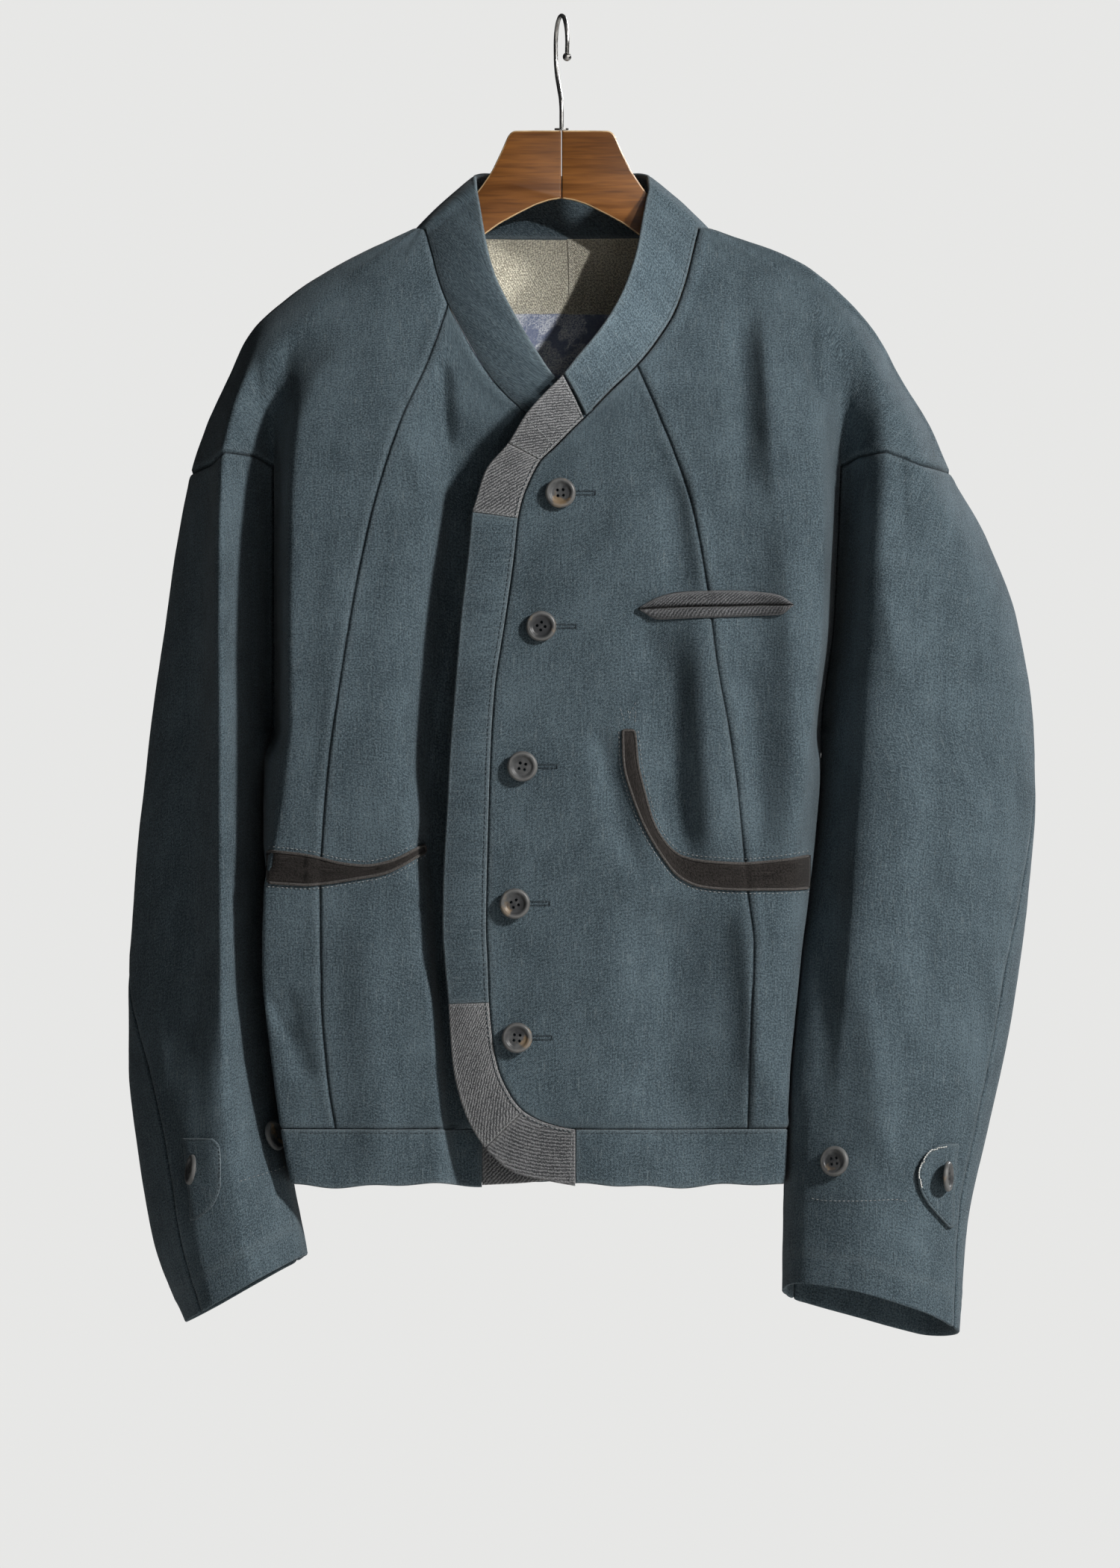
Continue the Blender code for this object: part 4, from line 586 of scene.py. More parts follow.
def join(grids):
    """Points, faces and texture coordinates of several grids, welded where they coincide."""
    points, coords, faces, offset = [], [], [], 0
    for p, uv in grids:
        rows, cols = p.shape[:2]
        i = np.arange(rows * cols).reshape(rows, cols) + offset
        faces.append(np.stack([i[:-1, :-1], i[:-1, 1:], i[1:, 1:], i[1:, :-1]], -1).reshape(-1, 4))
        points.append(p.reshape(-1, 3))
        coords.append(uv.reshape(-1, 2))
        offset += rows * cols
    points, coords, faces = np.concatenate(points), np.concatenate(coords), np.concatenate(faces)
    _, first, index = np.unique(np.round(points / 0.04).astype(int), axis=0, return_index=True,
                                return_inverse=True)
    index = index.ravel()
    welded = index[faces]
    sound = np.array([len(set(f)) == 4 for f in welded.tolist()])
    thin = [([v for k, v in enumerate(f) if v != f[k - 1]], c)
            for f, c in zip(welded[~sound].tolist(), faces[~sound].tolist())]
    thin = [(f, [c[list(index[c]).index(v)] for v in f]) for f, c in thin if len(f) == 3 and len(set(f)) == 3]
    polygons = welded[sound].tolist() + [f for f, _ in thin]
    corners = faces[sound].ravel().tolist() + [v for _, c in thin for v in c]
    return points[first], polygons, coords[corners]


def vertex_normals(points, polygons):
    out = np.zeros_like(points)
    for n in (3, 4):
        f = np.array([p for p in polygons if len(p) == n], int).reshape(-1, n)
        face = np.cross(points[f[:, 2]] - points[f[:, 0]], points[f[:, -1]] - points[f[:, 1 if n == 4 else 0]])
        for k in range(n):
            np.add.at(out, f[:, k], face)
    return out / np.maximum(np.linalg.norm(out, axis=1, keepdims=True), 1e-9)


def edge_distance(points, polygons):
    """Distance from each vertex to the sheet's nearest open edge."""
    seen = {}
    for f in polygons:
        for a, b in zip(f, f[1:] + f[:1]):
            seen[(a, b)] = seen[(b, a)] = seen.get((a, b), 0) + 1
    rim = sorted({a for (a, b), n in seen.items() if n == 1})
    if not rim:
        return np.full(len(points), 99.0)
    tree = KDTree(len(rim))
    for k, v in enumerate(rim):
        tree.insert(points[v], k)
    tree.balance()
    return np.array([tree.find(p)[2] for p in points])


def wobble(points, scale, seed, count=14):
    """Smooth unevenness between -1 and 1: a sum of waves in seeded directions."""
    rng = np.random.default_rng(seed)
    way = rng.normal(size=(count, 3))
    way /= np.linalg.norm(way, axis=1, keepdims=True)
    length = scale * rng.uniform(0.7, 1.8, count)
    phase = rng.uniform(0, 6.28, count)
    return np.sin(points @ (way / length[:, None]).T * 6.28 + phase).sum(1) / count ** 0.5 / 1.6


def make(name, points, polygons, coords, material, wear=None, solids=()):
    """An object of the piece's mesh, in metres, riding on the jacket and standing for its solids."""
    label = name + "_dressed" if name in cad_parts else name
    mesh = bpy.data.meshes.new(label)
    mesh.from_pydata((points * MM).tolist(), [], polygons)
    layer = mesh.uv_layers.new(name="cloth")
    layer.uv.foreach_set("vector", np.ravel(coords).astype(np.float32))
    if wear is not None:
        mesh.attributes.new("wear", "FLOAT", "POINT").data.foreach_set("value", wear.astype(np.float32))
    mesh.shade_smooth()
    mesh.materials.append(material)
    piece = bpy.data.objects.new(label, mesh)
    bpy.context.scene.collection.objects.link(piece)
    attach(piece, "root")
    if solids:
        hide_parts(*solids)
    return piece


TREES = {}               # the finished pieces, for laying stitches on them
CUTS = {}                # each sheet's given cut and the area of one layer of its mesh


def triangle(a, b, c):
    return np.linalg.norm(np.cross(b - a, c - a)) / 2


def declare(piece, points, polygons, cut, layers):
    """Keeps this sheet's cut and the area of one layer of its mesh in CUTS. cut is an estimate, in millimetres."""
    area = sum(triangle(*points[f[:3]])
               + (triangle(points[f[0]], points[f[2]], points[f[3]]) if len(f) == 4 else 0)
               for f in polygons) * 1e-6 / layers
    CUTS[piece.name] = (cut, round(area, 4))


def flipped(polygons, coords):
    """The same faces turned over, with their corners' texture coordinates."""
    sizes = [len(f) for f in polygons]
    ends = np.cumsum(sizes)
    order = np.concatenate([np.arange(e - 1, e - n - 1, -1) for e, n in zip(ends, sizes)])
    return [f[::-1] for f in polygons], coords[order]


def panel(name, grids, cut, out, material="indigo_twill", relief=1.0, seed=1,
          lip=0.30):
    """A panel of cloth: grids welded, turned in at its seams, slightly uneven."""
    points, polygons, coords = join(grids)
    normal = vertex_normals(points, polygons)
    hint = out(points) if callable(out) else np.array(out, float)
    if (normal * hint).sum() < 0:
        polygons, coords = flipped(polygons, coords)
        normal = -normal
    d = edge_distance(points, polygons)
    seam = -1.5 * np.exp(-(d / 0.8) ** 2) + lip * np.exp(-((d - 4.5) / 3) ** 2)
    pucker = 0.28 * np.exp(-d / 7) * wobble(points, 16, seed)
    uneven = 0.30 * wobble(points, 60, seed + 1) + 0.07 * wobble(points, 13, seed + 2)
    shift = relief * (seam + pucker + uneven * (1 - np.exp(-d / 8)))
    points = points + normal * shift[:, None]
    piece = make(name, points, polygons, coords, LOOKS[material],
                 0.25 * np.exp(-((d - 2.6) / 1.5) ** 2) - np.exp(-(d / 0.6) ** 2), (name,))
    declare(piece, points, polygons, cut, 1)
    TREES[name] = BVHTree.FromPolygons(points.tolist(), polygons)
    return piece


def wall_of(name, points, normal, thick, lift, cut, material, start=0.0, solids=None, round_off=None,
            groove=0.0, seed=3, rests_on=("hanger_half_left",), turn=False):
    """A folded or doubled piece laid on another: a closed wall with rounded edges."""
    (grid_points, uv), shape = grid(points, start), points.shape[:2]
    down = np.linalg.norm(np.diff(points, axis=0), axis=2).cumsum(0)
    down = np.vstack([0 * down[:1], down])
    right = np.linalg.norm(np.diff(points, axis=1), axis=2).cumsum(1)
    right = np.hstack([0 * right[:, :1], right])
    d = np.minimum(np.minimum(down, down[-1] - down), np.minimum(right, right[:, -1:] - right))
    radius = round_off or thick / 2
    rim = np.sqrt(np.clip(1 - (1 - np.minimum(d / radius, 1)) ** 2, 0, 1))
    flat = points.reshape(-1, 3)
    uneven = (0.12 * wobble(flat, 14, seed) + 0.16 * wobble(flat, 45, seed + 1)).reshape(shape)
    sewn = -groove * np.exp(-((d - 2.4) / 0.7) ** 2)
    mid = points + normal * (lift + thick / 2)
    half = normal * (thick / 2 * rim)[..., None]
    top = mid + half + normal * ((sewn + uneven * np.minimum(d, 3) / 3) * (rim > 0.5))[..., None]
    low = (mid - half)[:, ::-1]
    if turn:
        uv = uv[..., ::-1]
    verts, polygons, coords = join([(top, uv), (low, uv[:, ::-1])])
    facing = np.cross(top[1:, :-1] - top[:-1, :-1], top[:-1, 1:] - top[:-1, :-1])
    if (facing * normal[:-1, :-1]).sum() > 0:
        polygons, coords = flipped(polygons, coords)
    near = KDTree(top.shape[0] * top.shape[1])
    for k, p in enumerate(top.reshape(-1, 3)):
        near.insert(p, k)
    near.balance()
    worn = np.exp(-d.ravel() / 1.6)
    wear = np.array([worn[near.find(p)[1]] for p in verts])
    piece = make(name, verts, polygons, coords, LOOKS[material], wear,
                 (name,) if solids is None else solids)
    declare(piece, verts, polygons, cut, 2)
    TREES[name] = BVHTree.FromPolygons(verts.tolist(), polygons)
    return piece
# %% [markdown]
# ## Materials
#
# One node group makes the weave: twill ridges, yarns running down and across, slubs, flecks and slow
# mottling, all from the distances on the cloth. Its outputs are masks; each fabric colours them.

# %%


class Tree:
    """Short ways to add nodes to a material or group."""

    def __init__(self, tree):
        self.tree, self.links = tree, tree.links

    def node(self, kind, **inputs):
        node = self.tree.nodes.new("ShaderNode" + kind)
        for key, value in inputs.items():
            if hasattr(node, key) and key not in ("height", "width", "color"):
                setattr(node, key, value)
                continue
            socket = node.inputs[int(key[1:]) if key[1:].isdigit() else key.replace("_", " ")]
            if isinstance(value, bpy.types.NodeSocket):
                self.links.new(value, socket)
            else:
                socket.default_value = value
        return node

    def math(self, operation, *values):
        return self.node("Math", operation=operation, **{f"i{k}": v for k, v in enumerate(values)}).outputs[0]

    def noise(self, vector, scale, detail=2.0, rough=0.5):
        return self.node("TexNoise", Vector=vector, Scale=scale, Detail=detail, Roughness=rough).outputs["Fac"]

    def stretch(self, vector, x, y, z=1):
        return self.node("VectorMath", operation="MULTIPLY", i0=vector, i1=(x, y, z)).outputs[0]

    def ramp(self, value, low, high, to_low=0.0, to_high=1.0):
        node = self.node("MapRange", interpolation_type="SMOOTHSTEP", i0=value)
        for k, v in enumerate((low, high, to_low, to_high), 1):
            node.inputs[k].default_value = v
        return node.outputs[0]

    def mix(self, factor, a, b):
        node = self.node("Mix", data_type="RGBA")
        for socket, value in zip((node.inputs[0], node.inputs[6], node.inputs[7]), (factor, a, b)):
            if isinstance(value, bpy.types.NodeSocket):
                self.links.new(value, socket)
            else:
                socket.default_value = value if isinstance(value, float) else (*value, 1)[:4]
        return node.outputs[2]


def new_material(name):
    """A material, the short ways to add nodes to it, and its shader."""
    material = bpy.data.materials.new(name)
    material.use_nodes = True
    return material, Tree(material.node_tree), material.node_tree.nodes["Principled BSDF"]


def new_group(name, ins, outs):
    group = bpy.data.node_groups.new(name, "ShaderNodeTree")
    for label, default in ins:
        kind = "NodeSocketVector" if default is None else "NodeSocketFloat"
        socket = group.interface.new_socket(label, in_out="INPUT", socket_type=kind)
        if default is not None:
            socket.default_value = default
    for label in outs:
        group.interface.new_socket(label, in_out="OUTPUT", socket_type="NodeSocketFloat")
    return group, Tree(group), group.nodes.new("NodeGroupInput"), group.nodes.new("NodeGroupOutput")


weave, t, given, result = new_group(
    "weave", [("Cloth", None), ("Pitch", 1.2), ("Lean", 1.0)],
    ["Height", "Ridge", "Yarn", "Slub", "Fleck", "Mottle", "Grain"])
mm = t.node("VectorMath", operation="SCALE", i0=given.outputs["Cloth"], Scale=1000.0).outputs[0]
split = t.node("SeparateXYZ", i0=mm)
u, v = split.outputs[0], split.outputs[1]
drift = t.noise(mm, 0.35, 2.0)
phase = t.math("DIVIDE", t.math("ADD", u, t.math("MULTIPLY", v, given.outputs["Lean"])), given.outputs["Pitch"])
phase = t.math("ADD", phase, t.math("MULTIPLY", drift, 0.9))
ridge = t.math("PINGPONG", phase, 0.5)
ridge = t.math("MULTIPLY", ridge, 2.0)
beads = t.noise(t.stretch(mm, 1.1, 1.6), 1.0, 1.0)
ridge = t.math("MULTIPLY", ridge, t.ramp(beads, 0.3, 0.62, 0.25, 1.0))
down = t.noise(t.stretch(mm, 1.3, 0.05), 1.0, 2.0, 0.6)
level = t.noise(t.stretch(mm, 0.06, 1.3), 1.0, 2.0, 0.6)
yarn = t.math("ADD", t.math("MULTIPLY", down, 0.62), t.math("MULTIPLY", level, 0.38))
slub = t.ramp(t.noise(t.stretch(mm, 0.75, 0.07), 1.0, 2.0, 0.55), 0.60, 0.74)
fleck = t.ramp(t.noise(mm, 1.05, 1.0, 0.4), 0.66, 0.76)
mottle = t.math("ADD", t.math("MULTIPLY", t.noise(mm, 0.022, 3.0, 0.55), 0.6),
                t.math("MULTIPLY", t.noise(t.stretch(mm, 0.05, 0.012), 1.0, 2.0), 0.4))
grain = t.ramp(t.noise(mm, 0.85, 2.0, 0.75), 0.34, 0.66)
height = t.math("ADD", t.math("MULTIPLY", ridge, 0.6), t.math("MULTIPLY", yarn, 0.8))
height = t.math("ADD", height, t.math("MULTIPLY", grain, 0.5))
for label, value in zip(("Height", "Ridge", "Yarn", "Slub", "Fleck", "Mottle", "Grain"),
                        (height, ridge, yarn, slub, fleck, mottle, grain)):
    t.links.new(value, result.inputs[label])


def fabric(name, dark, light, pale, pitch=1.2, lean=1.0, ridges=0.30, yarns=0.55, slubs=0.25, flecks=0.4,
           mottles=0.7, worn=0.25, bump=0.5, sheen=0.12, grains=0.9, blots=0.0):
    """A woven material: dark to light along the yarns, pale flecks and slubs, rubbed at its edges."""
    material, t, shader = new_material(name)
    cloth = t.node("UVMap", uv_map="cloth").outputs[0]
    w = material.node_tree.nodes.new("ShaderNodeGroup")
    w.node_tree = weave
    t.links.new(cloth, w.inputs["Cloth"])
    w.inputs["Pitch"].default_value, w.inputs["Lean"].default_value = pitch, lean
    tone = t.math("MULTIPLY", t.math("SUBTRACT", w.outputs["Ridge"], 0.45), ridges)
    tone = t.math("ADD", tone, t.math("MULTIPLY", t.math("SUBTRACT", w.outputs["Yarn"], 0.5), yarns * 3))
    tone = t.math("ADD", tone, t.math("MULTIPLY", t.math("SUBTRACT", w.outputs["Mottle"], 0.5), mottles * 2))
    tone = t.math("ADD", tone, t.math("MULTIPLY", t.math("SUBTRACT", w.outputs["Grain"], 0.5), grains))
    tone = t.math("ADD", tone, 0.5)
    tone.node.use_clamp = True
    colour = t.mix(tone, dark, light)
    colour = t.mix(t.math("MULTIPLY", w.outputs["Slub"], slubs), colour, pale)
    colour = t.mix(t.math("MULTIPLY", w.outputs["Fleck"], flecks), colour, pale)
    if blots:
        blot = t.math("MULTIPLY", t.ramp(t.noise(cloth, 70.0, 2.0), 0.50, 0.58), blots)
        colour = t.mix(blot, colour, dark)
    wear = t.node("Attribute", attribute_name="wear").outputs["Fac"]
    rubbed = t.math("MULTIPLY", t.math("MULTIPLY", t.math("MAXIMUM", wear, 0.0), w.outputs["Yarn"]), worn * 2)
    rubbed.node.use_clamp = True
    colour = t.mix(rubbed, colour, pale)
    # Below zero the wear attribute darkens the cloth: dark seam lines and marks, and painted shade in the chest
    # welt's slit.
    dark_seams_and_painted_shade = t.math("MULTIPLY", wear, -0.8)
    dark_seams_and_painted_shade.node.use_clamp = True
    colour = t.mix(dark_seams_and_painted_shade, colour, tuple(0.25 * c for c in dark))
    t.links.new(colour, shader.inputs["Base Color"])
    rough = t.math("ADD", 0.86, t.math("MULTIPLY", w.outputs["Yarn"], 0.16))
    rough.node.use_clamp = True
    t.links.new(rough, shader.inputs["Roughness"])
    relief = t.node("Bump", Height=w.outputs["Height"], Strength=bump, Distance=0.0004)
    t.links.new(relief.outputs[0], shader.inputs["Normal"])
    shader.inputs["Sheen Weight"].default_value = sheen
    shader.inputs["Sheen Roughness"].default_value = 0.45
    shader.inputs["Specular IOR Level"].default_value = 0.2
    LOOKS[name] = material
    return material


fabric("indigo_twill", (0.034, 0.051, 0.063), (0.128, 0.176, 0.206), (0.30, 0.35, 0.37), flecks=0.6)
fabric("grey_twill", (0.055, 0.058, 0.063), (0.34, 0.345, 0.355), (0.50, 0.50, 0.50), pitch=2.9, ridges=1.6,
       yarns=0.35, mottles=0.6, worn=0.3, bump=1.0, grains=0.45)
fabric("grey_ribbed", (0.045, 0.048, 0.053), (0.30, 0.305, 0.315), (0.46, 0.46, 0.47), pitch=15.0, lean=-7.0,
       ridges=1.3, yarns=0.35, mottles=0.6, worn=0.3, bump=1.0, grains=0.45)
fabric("welt_twill", (0.028, 0.030, 0.034), (0.20, 0.205, 0.215), (0.34, 0.34, 0.35), pitch=2.6, ridges=1.8,
       yarns=0.3, mottles=0.5, worn=0.5, bump=1.0, grains=0.45)
fabric("cream_linen", (0.36, 0.33, 0.255), (0.92, 0.87, 0.71), (0.95, 0.92, 0.82), pitch=1.6, ridges=0.5,
       yarns=0.6, slubs=0.35, flecks=0.25, bump=0.9, grains=1.2)
fabric("mottled_cotton", (0.20, 0.24, 0.38), (0.88, 0.90, 0.92), (0.95, 0.95, 0.95), pitch=0.9, ridges=0.05,
       yarns=0.2, mottles=1.4, bump=0.3, blots=0.8)
# The pocket facings' brown is darker than the cloth's own, to stand for the shade in the pocket mouths: painted
# shade.
fabric("brown_facing", (0.009, 0.008, 0.0075), (0.040, 0.035, 0.033), (0.10, 0.09, 0.085), mottles=0.6, bump=0.5)
fabric("brown_piping", (0.045, 0.042, 0.040), (0.13, 0.12, 0.115), (0.16, 0.15, 0.14), ridges=0.1, bump=0.3)
fabric("thread", (0.030, 0.040, 0.050), (0.065, 0.085, 0.10), (0.16, 0.19, 0.20), ridges=0.1, bump=0.2)
fabric("pale_thread", (0.22, 0.24, 0.25), (0.40, 0.42, 0.43), (0.5, 0.5, 0.5), ridges=0.1, bump=0.2)
# Near-white thread for the left cuff tab's worn upper edge, bright enough to be partly a painted highlight of that
# edge.
fabric("bare_thread", (0.62, 0.63, 0.61), (0.88, 0.88, 0.86), (0.9, 0.9, 0.9), ridges=0.1, bump=0.2)
fabric("button_thread", (0.05, 0.055, 0.06), (0.11, 0.12, 0.125), (0.2, 0.2, 0.2), ridges=0.1, bump=0.2)
LOOKS["ribbed"] = LOOKS["grey_ribbed"]

# Horn, wood and wire.
horn, t, shader = new_material("grey_horn")
place = t.node("TexCoord").outputs["Object"]
cloud = t.noise(place, 90.0, 4.0, 0.6)
grain = t.noise(t.stretch(place, 260.0, 900.0), 1.0, 2.0)
rim = t.node("Attribute", attribute_name="wear").outputs["Fac"]
colour = t.mix(t.ramp(cloud, 0.36, 0.66), (0.042, 0.044, 0.048), (0.125, 0.128, 0.13))
colour = t.mix(t.math("MULTIPLY", t.ramp(t.noise(place, 70.0, 3.0), 0.58, 0.66), 0.7), colour, (0.32, 0.22, 0.12))
colour = t.mix(t.math("MULTIPLY", grain, 0.25), colour, (0.02, 0.02, 0.02))
colour = t.mix(t.math("MULTIPLY", rim, 0.4), colour, (0.30, 0.30, 0.29))
t.links.new(colour, shader.inputs["Base Color"])
t.links.new(t.ramp(cloud, 0.3, 0.7, 0.34, 0.52), shader.inputs["Roughness"])
t.links.new(t.node("Bump", Height=grain, Strength=0.15, Distance=0.0003).outputs[0], shader.inputs["Normal"])
LOOKS["horn"] = horn

wood, t, shader = new_material("red_brown_wood")
place = t.node("TexCoord").outputs["Object"]
fine = t.noise(t.stretch(place, 45, 45, 900), 1.0, 3.0)
broad = t.noise(t.stretch(place, 10, 10, 120), 1.0, 3.0, 0.6)
edge = t.node("Attribute", attribute_name="wear").outputs["Fac"]
colour = t.mix(t.ramp(broad, 0.3, 0.7), (0.115, 0.039, 0.006), (0.265, 0.098, 0.016))
colour = t.mix(t.math("MULTIPLY", t.ramp(fine, 0.45, 0.7), 0.35), colour, (0.06, 0.020, 0.006))
# The wear attribute turns the chamfered edges pale gold: worn bare wood, and partly a painted highlight of edges
# catching the light.
colour = t.mix(t.math("MULTIPLY", edge, t.ramp(t.noise(place, 60.0, 3.0), 0.3, 0.55, 0.45, 1.0)), colour,
               (0.80, 0.56, 0.30))
t.links.new(colour, shader.inputs["Base Color"])
t.links.new(t.ramp(broad, 0.2, 0.8, 0.30, 0.45), shader.inputs["Roughness"])
shader.inputs["Coat Weight"].default_value = 0.25
shader.inputs["Coat Roughness"].default_value = 0.25
t.links.new(t.node("Bump", Height=fine, Strength=0.2, Distance=0.0004).outputs[0], shader.inputs["Normal"])
LOOKS["wood"] = wood

steel, t, shader = new_material("steel_wire")
place = t.node("TexCoord").outputs["Object"]
scratch = t.noise(t.stretch(place, 500, 500, 90), 1.0, 3.0)
t.links.new(t.mix(scratch, (0.42, 0.41, 0.39), (0.72, 0.71, 0.69)), shader.inputs["Base Color"])
t.links.new(t.ramp(scratch, 0.3, 0.7, 0.22, 0.42), shader.inputs["Roughness"])
shader.inputs["Metallic"].default_value = 1.0
LOOKS["steel_wire"] = steel
print("materials:", ", ".join(sorted(LOOKS)))
# %% [markdown]
# ## Fronts, back and sleeves
#
# Every panel runs between the seams that it has in the solids. The side fronts go on over the shoulder
# to the armhole seam, and below the underarm round to the side seam.

# %%
TABLE_MARKS = (ARMHOLE, UNDERARM)
PANEL_TOP = -138.2


def front_side(side):
    princess = np.array(PRINCESS[side], float)
    start = princess[0, 1]
    z = levels(PANEL_TOP, HEM_SEAM, start, *TABLE_MARKS)
    inner = np.where(z >= start, seam_x(side, z), pchip(princess[:, 1], princess[:, 0], z))
    s0 = station_at(side, z, inner)
    shape = lambda z, s: body(side, z, s)
    s, at = across(shape, z, s0, 4.0)
    grids = [grid(shape(z[:, None], s), inner)]
    end = inner + at[:, -1]
    top = z[z >= ARMHOLE]
    q, _ = across(lambda z, q: head(side, z, q), top, 0.0, SHOULDER)
    grids.append(grid(head(side, cap_levels(top[:, None], q), q), end[:len(top)]))
    low = z[z <= UNDERARM]
    w, _ = across(lambda z, w: wall(side, z, w), low, 0.0, 1.0)
    grids.append(grid(wall(side, low[:, None], w), end[-len(low):]))
    return panel(f"{side}_front_side", match(grids), (310, 640), (0, -1, 0), seed=11 + SIDES[side],
                 lip=1.0 if side == "left" else 0.5)


def match(grids):
    """Later grids' texture coordinates go down the cloth from where they join the first."""
    (p0, uv0), out = grids[0], [grids[0]]
    for p, uv in grids[1:]:
        for row in (0, -1):
            gap = np.linalg.norm(p0[:, -1] - p[row, 0], axis=1)
            if gap.min() < 0.05:
                uv = uv + np.array([0, uv0[gap.argmin(), -1, 1] - uv[row, 0, 1]])
                break
        out.append((p, uv))
    return out


def front_centre(side):
    princess = np.array(PRINCESS[side], float)
    z = levels(princess[0, 1], HEM_SEAM, UNDERARM)
    inner = seam_x(side, z)
    shape = lambda z, s: body(side, z, s)
    s, _ = across(shape, z, station_at(side, z, inner),
                  station_at(side, z, pchip(princess[:, 1], princess[:, 0], z)))
    cut = (215, 560) if side == "right" else (180, 520)
    return panel(f"{side}_front_centre", [grid(shape(z[:, None], s), inner)], cut, (0, -1, 0),
                 seed=21 + SIDES[side])


def back_panel():
    z = levels(PANEL_TOP, HEM_SEAM, *TABLE_MARKS)
    shape = lambda z, s: body("back", z, s)
    s, at = across(shape, z, 0.0, 4.0)
    half = at[:, -1] / 2
    grids = [grid(shape(z[:, None], s), -half)]
    top, low = z[z >= ARMHOLE], z[z <= UNDERARM]
    for side in SIDES:
        q, arc = across(lambda z, q: head(side, z, q), top, SHOULDER, 6.0)
        w, arc_low = across(lambda z, w: wall(side, z, w), low, 1.0, 2.0)
        if side == "left":
            q, w = q[:, ::-1], w[:, ::-1]
        for zz, s_, f, a in ((cap_levels(top[:, None], q), q, head, arc), (low[:, None], w, wall, arc_low)):
            n = slice(0, len(top)) if f is head else slice(-len(low), None)
            start = -half[n] - a[:, -1] if side == "right" else half[n]
            grids.append(grid(f(side, zz, s_), start))
    return panel("back_panel", grids, (650, 640), (0, 1, 0), seed=31)


def cuffed(points, turn_in=20.0):
    """Rows added below a sleeve's edge: the cloth turns in and goes back up inside."""
    last, before = points[-1], points[-4]
    down = last - before
    down /= np.linalg.norm(down, axis=1, keepdims=True)
    along_row = np.gradient(points[-2], axis=0)
    normal = np.cross(along_row, down)
    normal /= np.linalg.norm(normal, axis=1, keepdims=True)
    centre = points[-1].mean(0)
    if (normal * (last - centre))[:, :2].sum() < 0:
        normal = -normal
    rows = [last + down * 0.7 - normal * 0.4, last + down * 0.7 - normal * 1.4, last - normal * 2.0]
    for rise in np.linspace(3, turn_in, 6):
        rows.append(last - down * rise - normal * 2.1)
    return np.concatenate([points, np.array(rows)])


def sleeve_piece(side, under):
    cuff = SLEEVE[side][-1][0]
    z = levels(ARMHOLE, cuff, UNDERARM)
    seam = np.array(BACK_SEAM[side], float)
    back = pchip(seam[:, 0], seam[:, 1], z)
    shape = lambda z, q: sleeve(side, z, q)
    first, last = (back, 6.0) if under else (0.0, back)
    q, at = across(shape, z, first, last)
    level = np.where((z >= UNDERARM)[:, None], cap_levels(z[:, None], q), z[:, None])
    grids = [grid(cuffed(shape(level, q)))]
    low = z[z <= UNDERARM]
    w, arc = across(shape, low, 6.0 if under else -1.0, 7.0 if under else 0.0)
    low_levels = np.where(low == UNDERARM, UNDERARM - 0.001, low)[:, None]
    extra = cuffed(shape(low_levels, w))
    rows = len(extra)
    start = np.pad(at[-len(low):, -1], (0, rows - len(low)), "edge") if under else -np.pad(
        arc[:, -1], (0, rows - len(low)), "edge")
    grids.append(grid(extra, start))
    xy = lambda p: np.stack([p[:, 0] - SIDES[side] * 225, p[:, 1], 0 * p[:, 0]], -1)
    name = f"{side}_sleeve_{'under' if under else 'top'}"
    cut = (150, 590) if under else (300, 590)
    return panel(name, grids, cut, xy, seed=41 + 3 * under + SIDES[side])


for side in SIDES:
    front_side(side)
    front_centre(side)
back_panel()
for side in SIDES:
    sleeve_piece(side, False)
    sleeve_piece(side, True)
for name, (cut, area) in CUTS.items():
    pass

# %% [markdown]
# ## Neckband, front bands and their patches
#
# Each is a folded strip between its seam and its free edge, 2.2 mm thick and slightly crowned.

# %%
BACK_NECK_COLUMNS = "station edge_x edge_d edge_z".split()
BACK_NECK = [(9.0, 57.0, -6, -104), (10.0, 49.0, -22, -101.5), (11.0, 28.0, -34, -102.5), (12.0, 0.0, -38, -103)]


def resample(rows, spacing):
    """Rows of numbers (the first three are a point) at even distances along a smooth curve through them."""
    t = np.arange(len(rows), dtype=float)
    fine = np.linspace(0, len(rows) - 1, 40 * len(rows))
    path = pchip(t, rows, fine)
    arc = np.concatenate([[0], np.linalg.norm(np.diff(path[:, :3], axis=0), axis=1).cumsum()])
    want = np.linspace(0, arc[-1], max(3, round(arc[-1] / spacing) + 1))
    near = EDGE[EDGE < arc[-1] / 3] * 0.6
    want = np.unique(np.concatenate([want, near, arc[-1] - near]))
    return np.stack([np.interp(want, arc, column) for column in path.T], 1)


def band_stretch(side, first, last):
    """Seam and edge points of one side's band between two rows of its table."""
    rows = band_rows(side)
    sign = SIDES[side]
    t = np.linspace(first, last, int((last - first) * 12) + 2)
    z = np.interp(t, np.arange(len(rows)), rows[:, 1])
    seam = body(side, np.minimum(z, NECK_SEAM), 0 * z)
    seam[:, 2] = z
    over = z > NECK_SEAM
    seam[over, 0] = sign * np.interp(t, np.arange(len(rows)), rows[:, 0])[over]
    x, _, edge_x, edge_z, rise = pchip(np.arange(len(rows)), rows, t).T
    edge = np.stack([sign * edge_x, seam[:, 1] - rise, edge_z], -1)
    return seam, edge


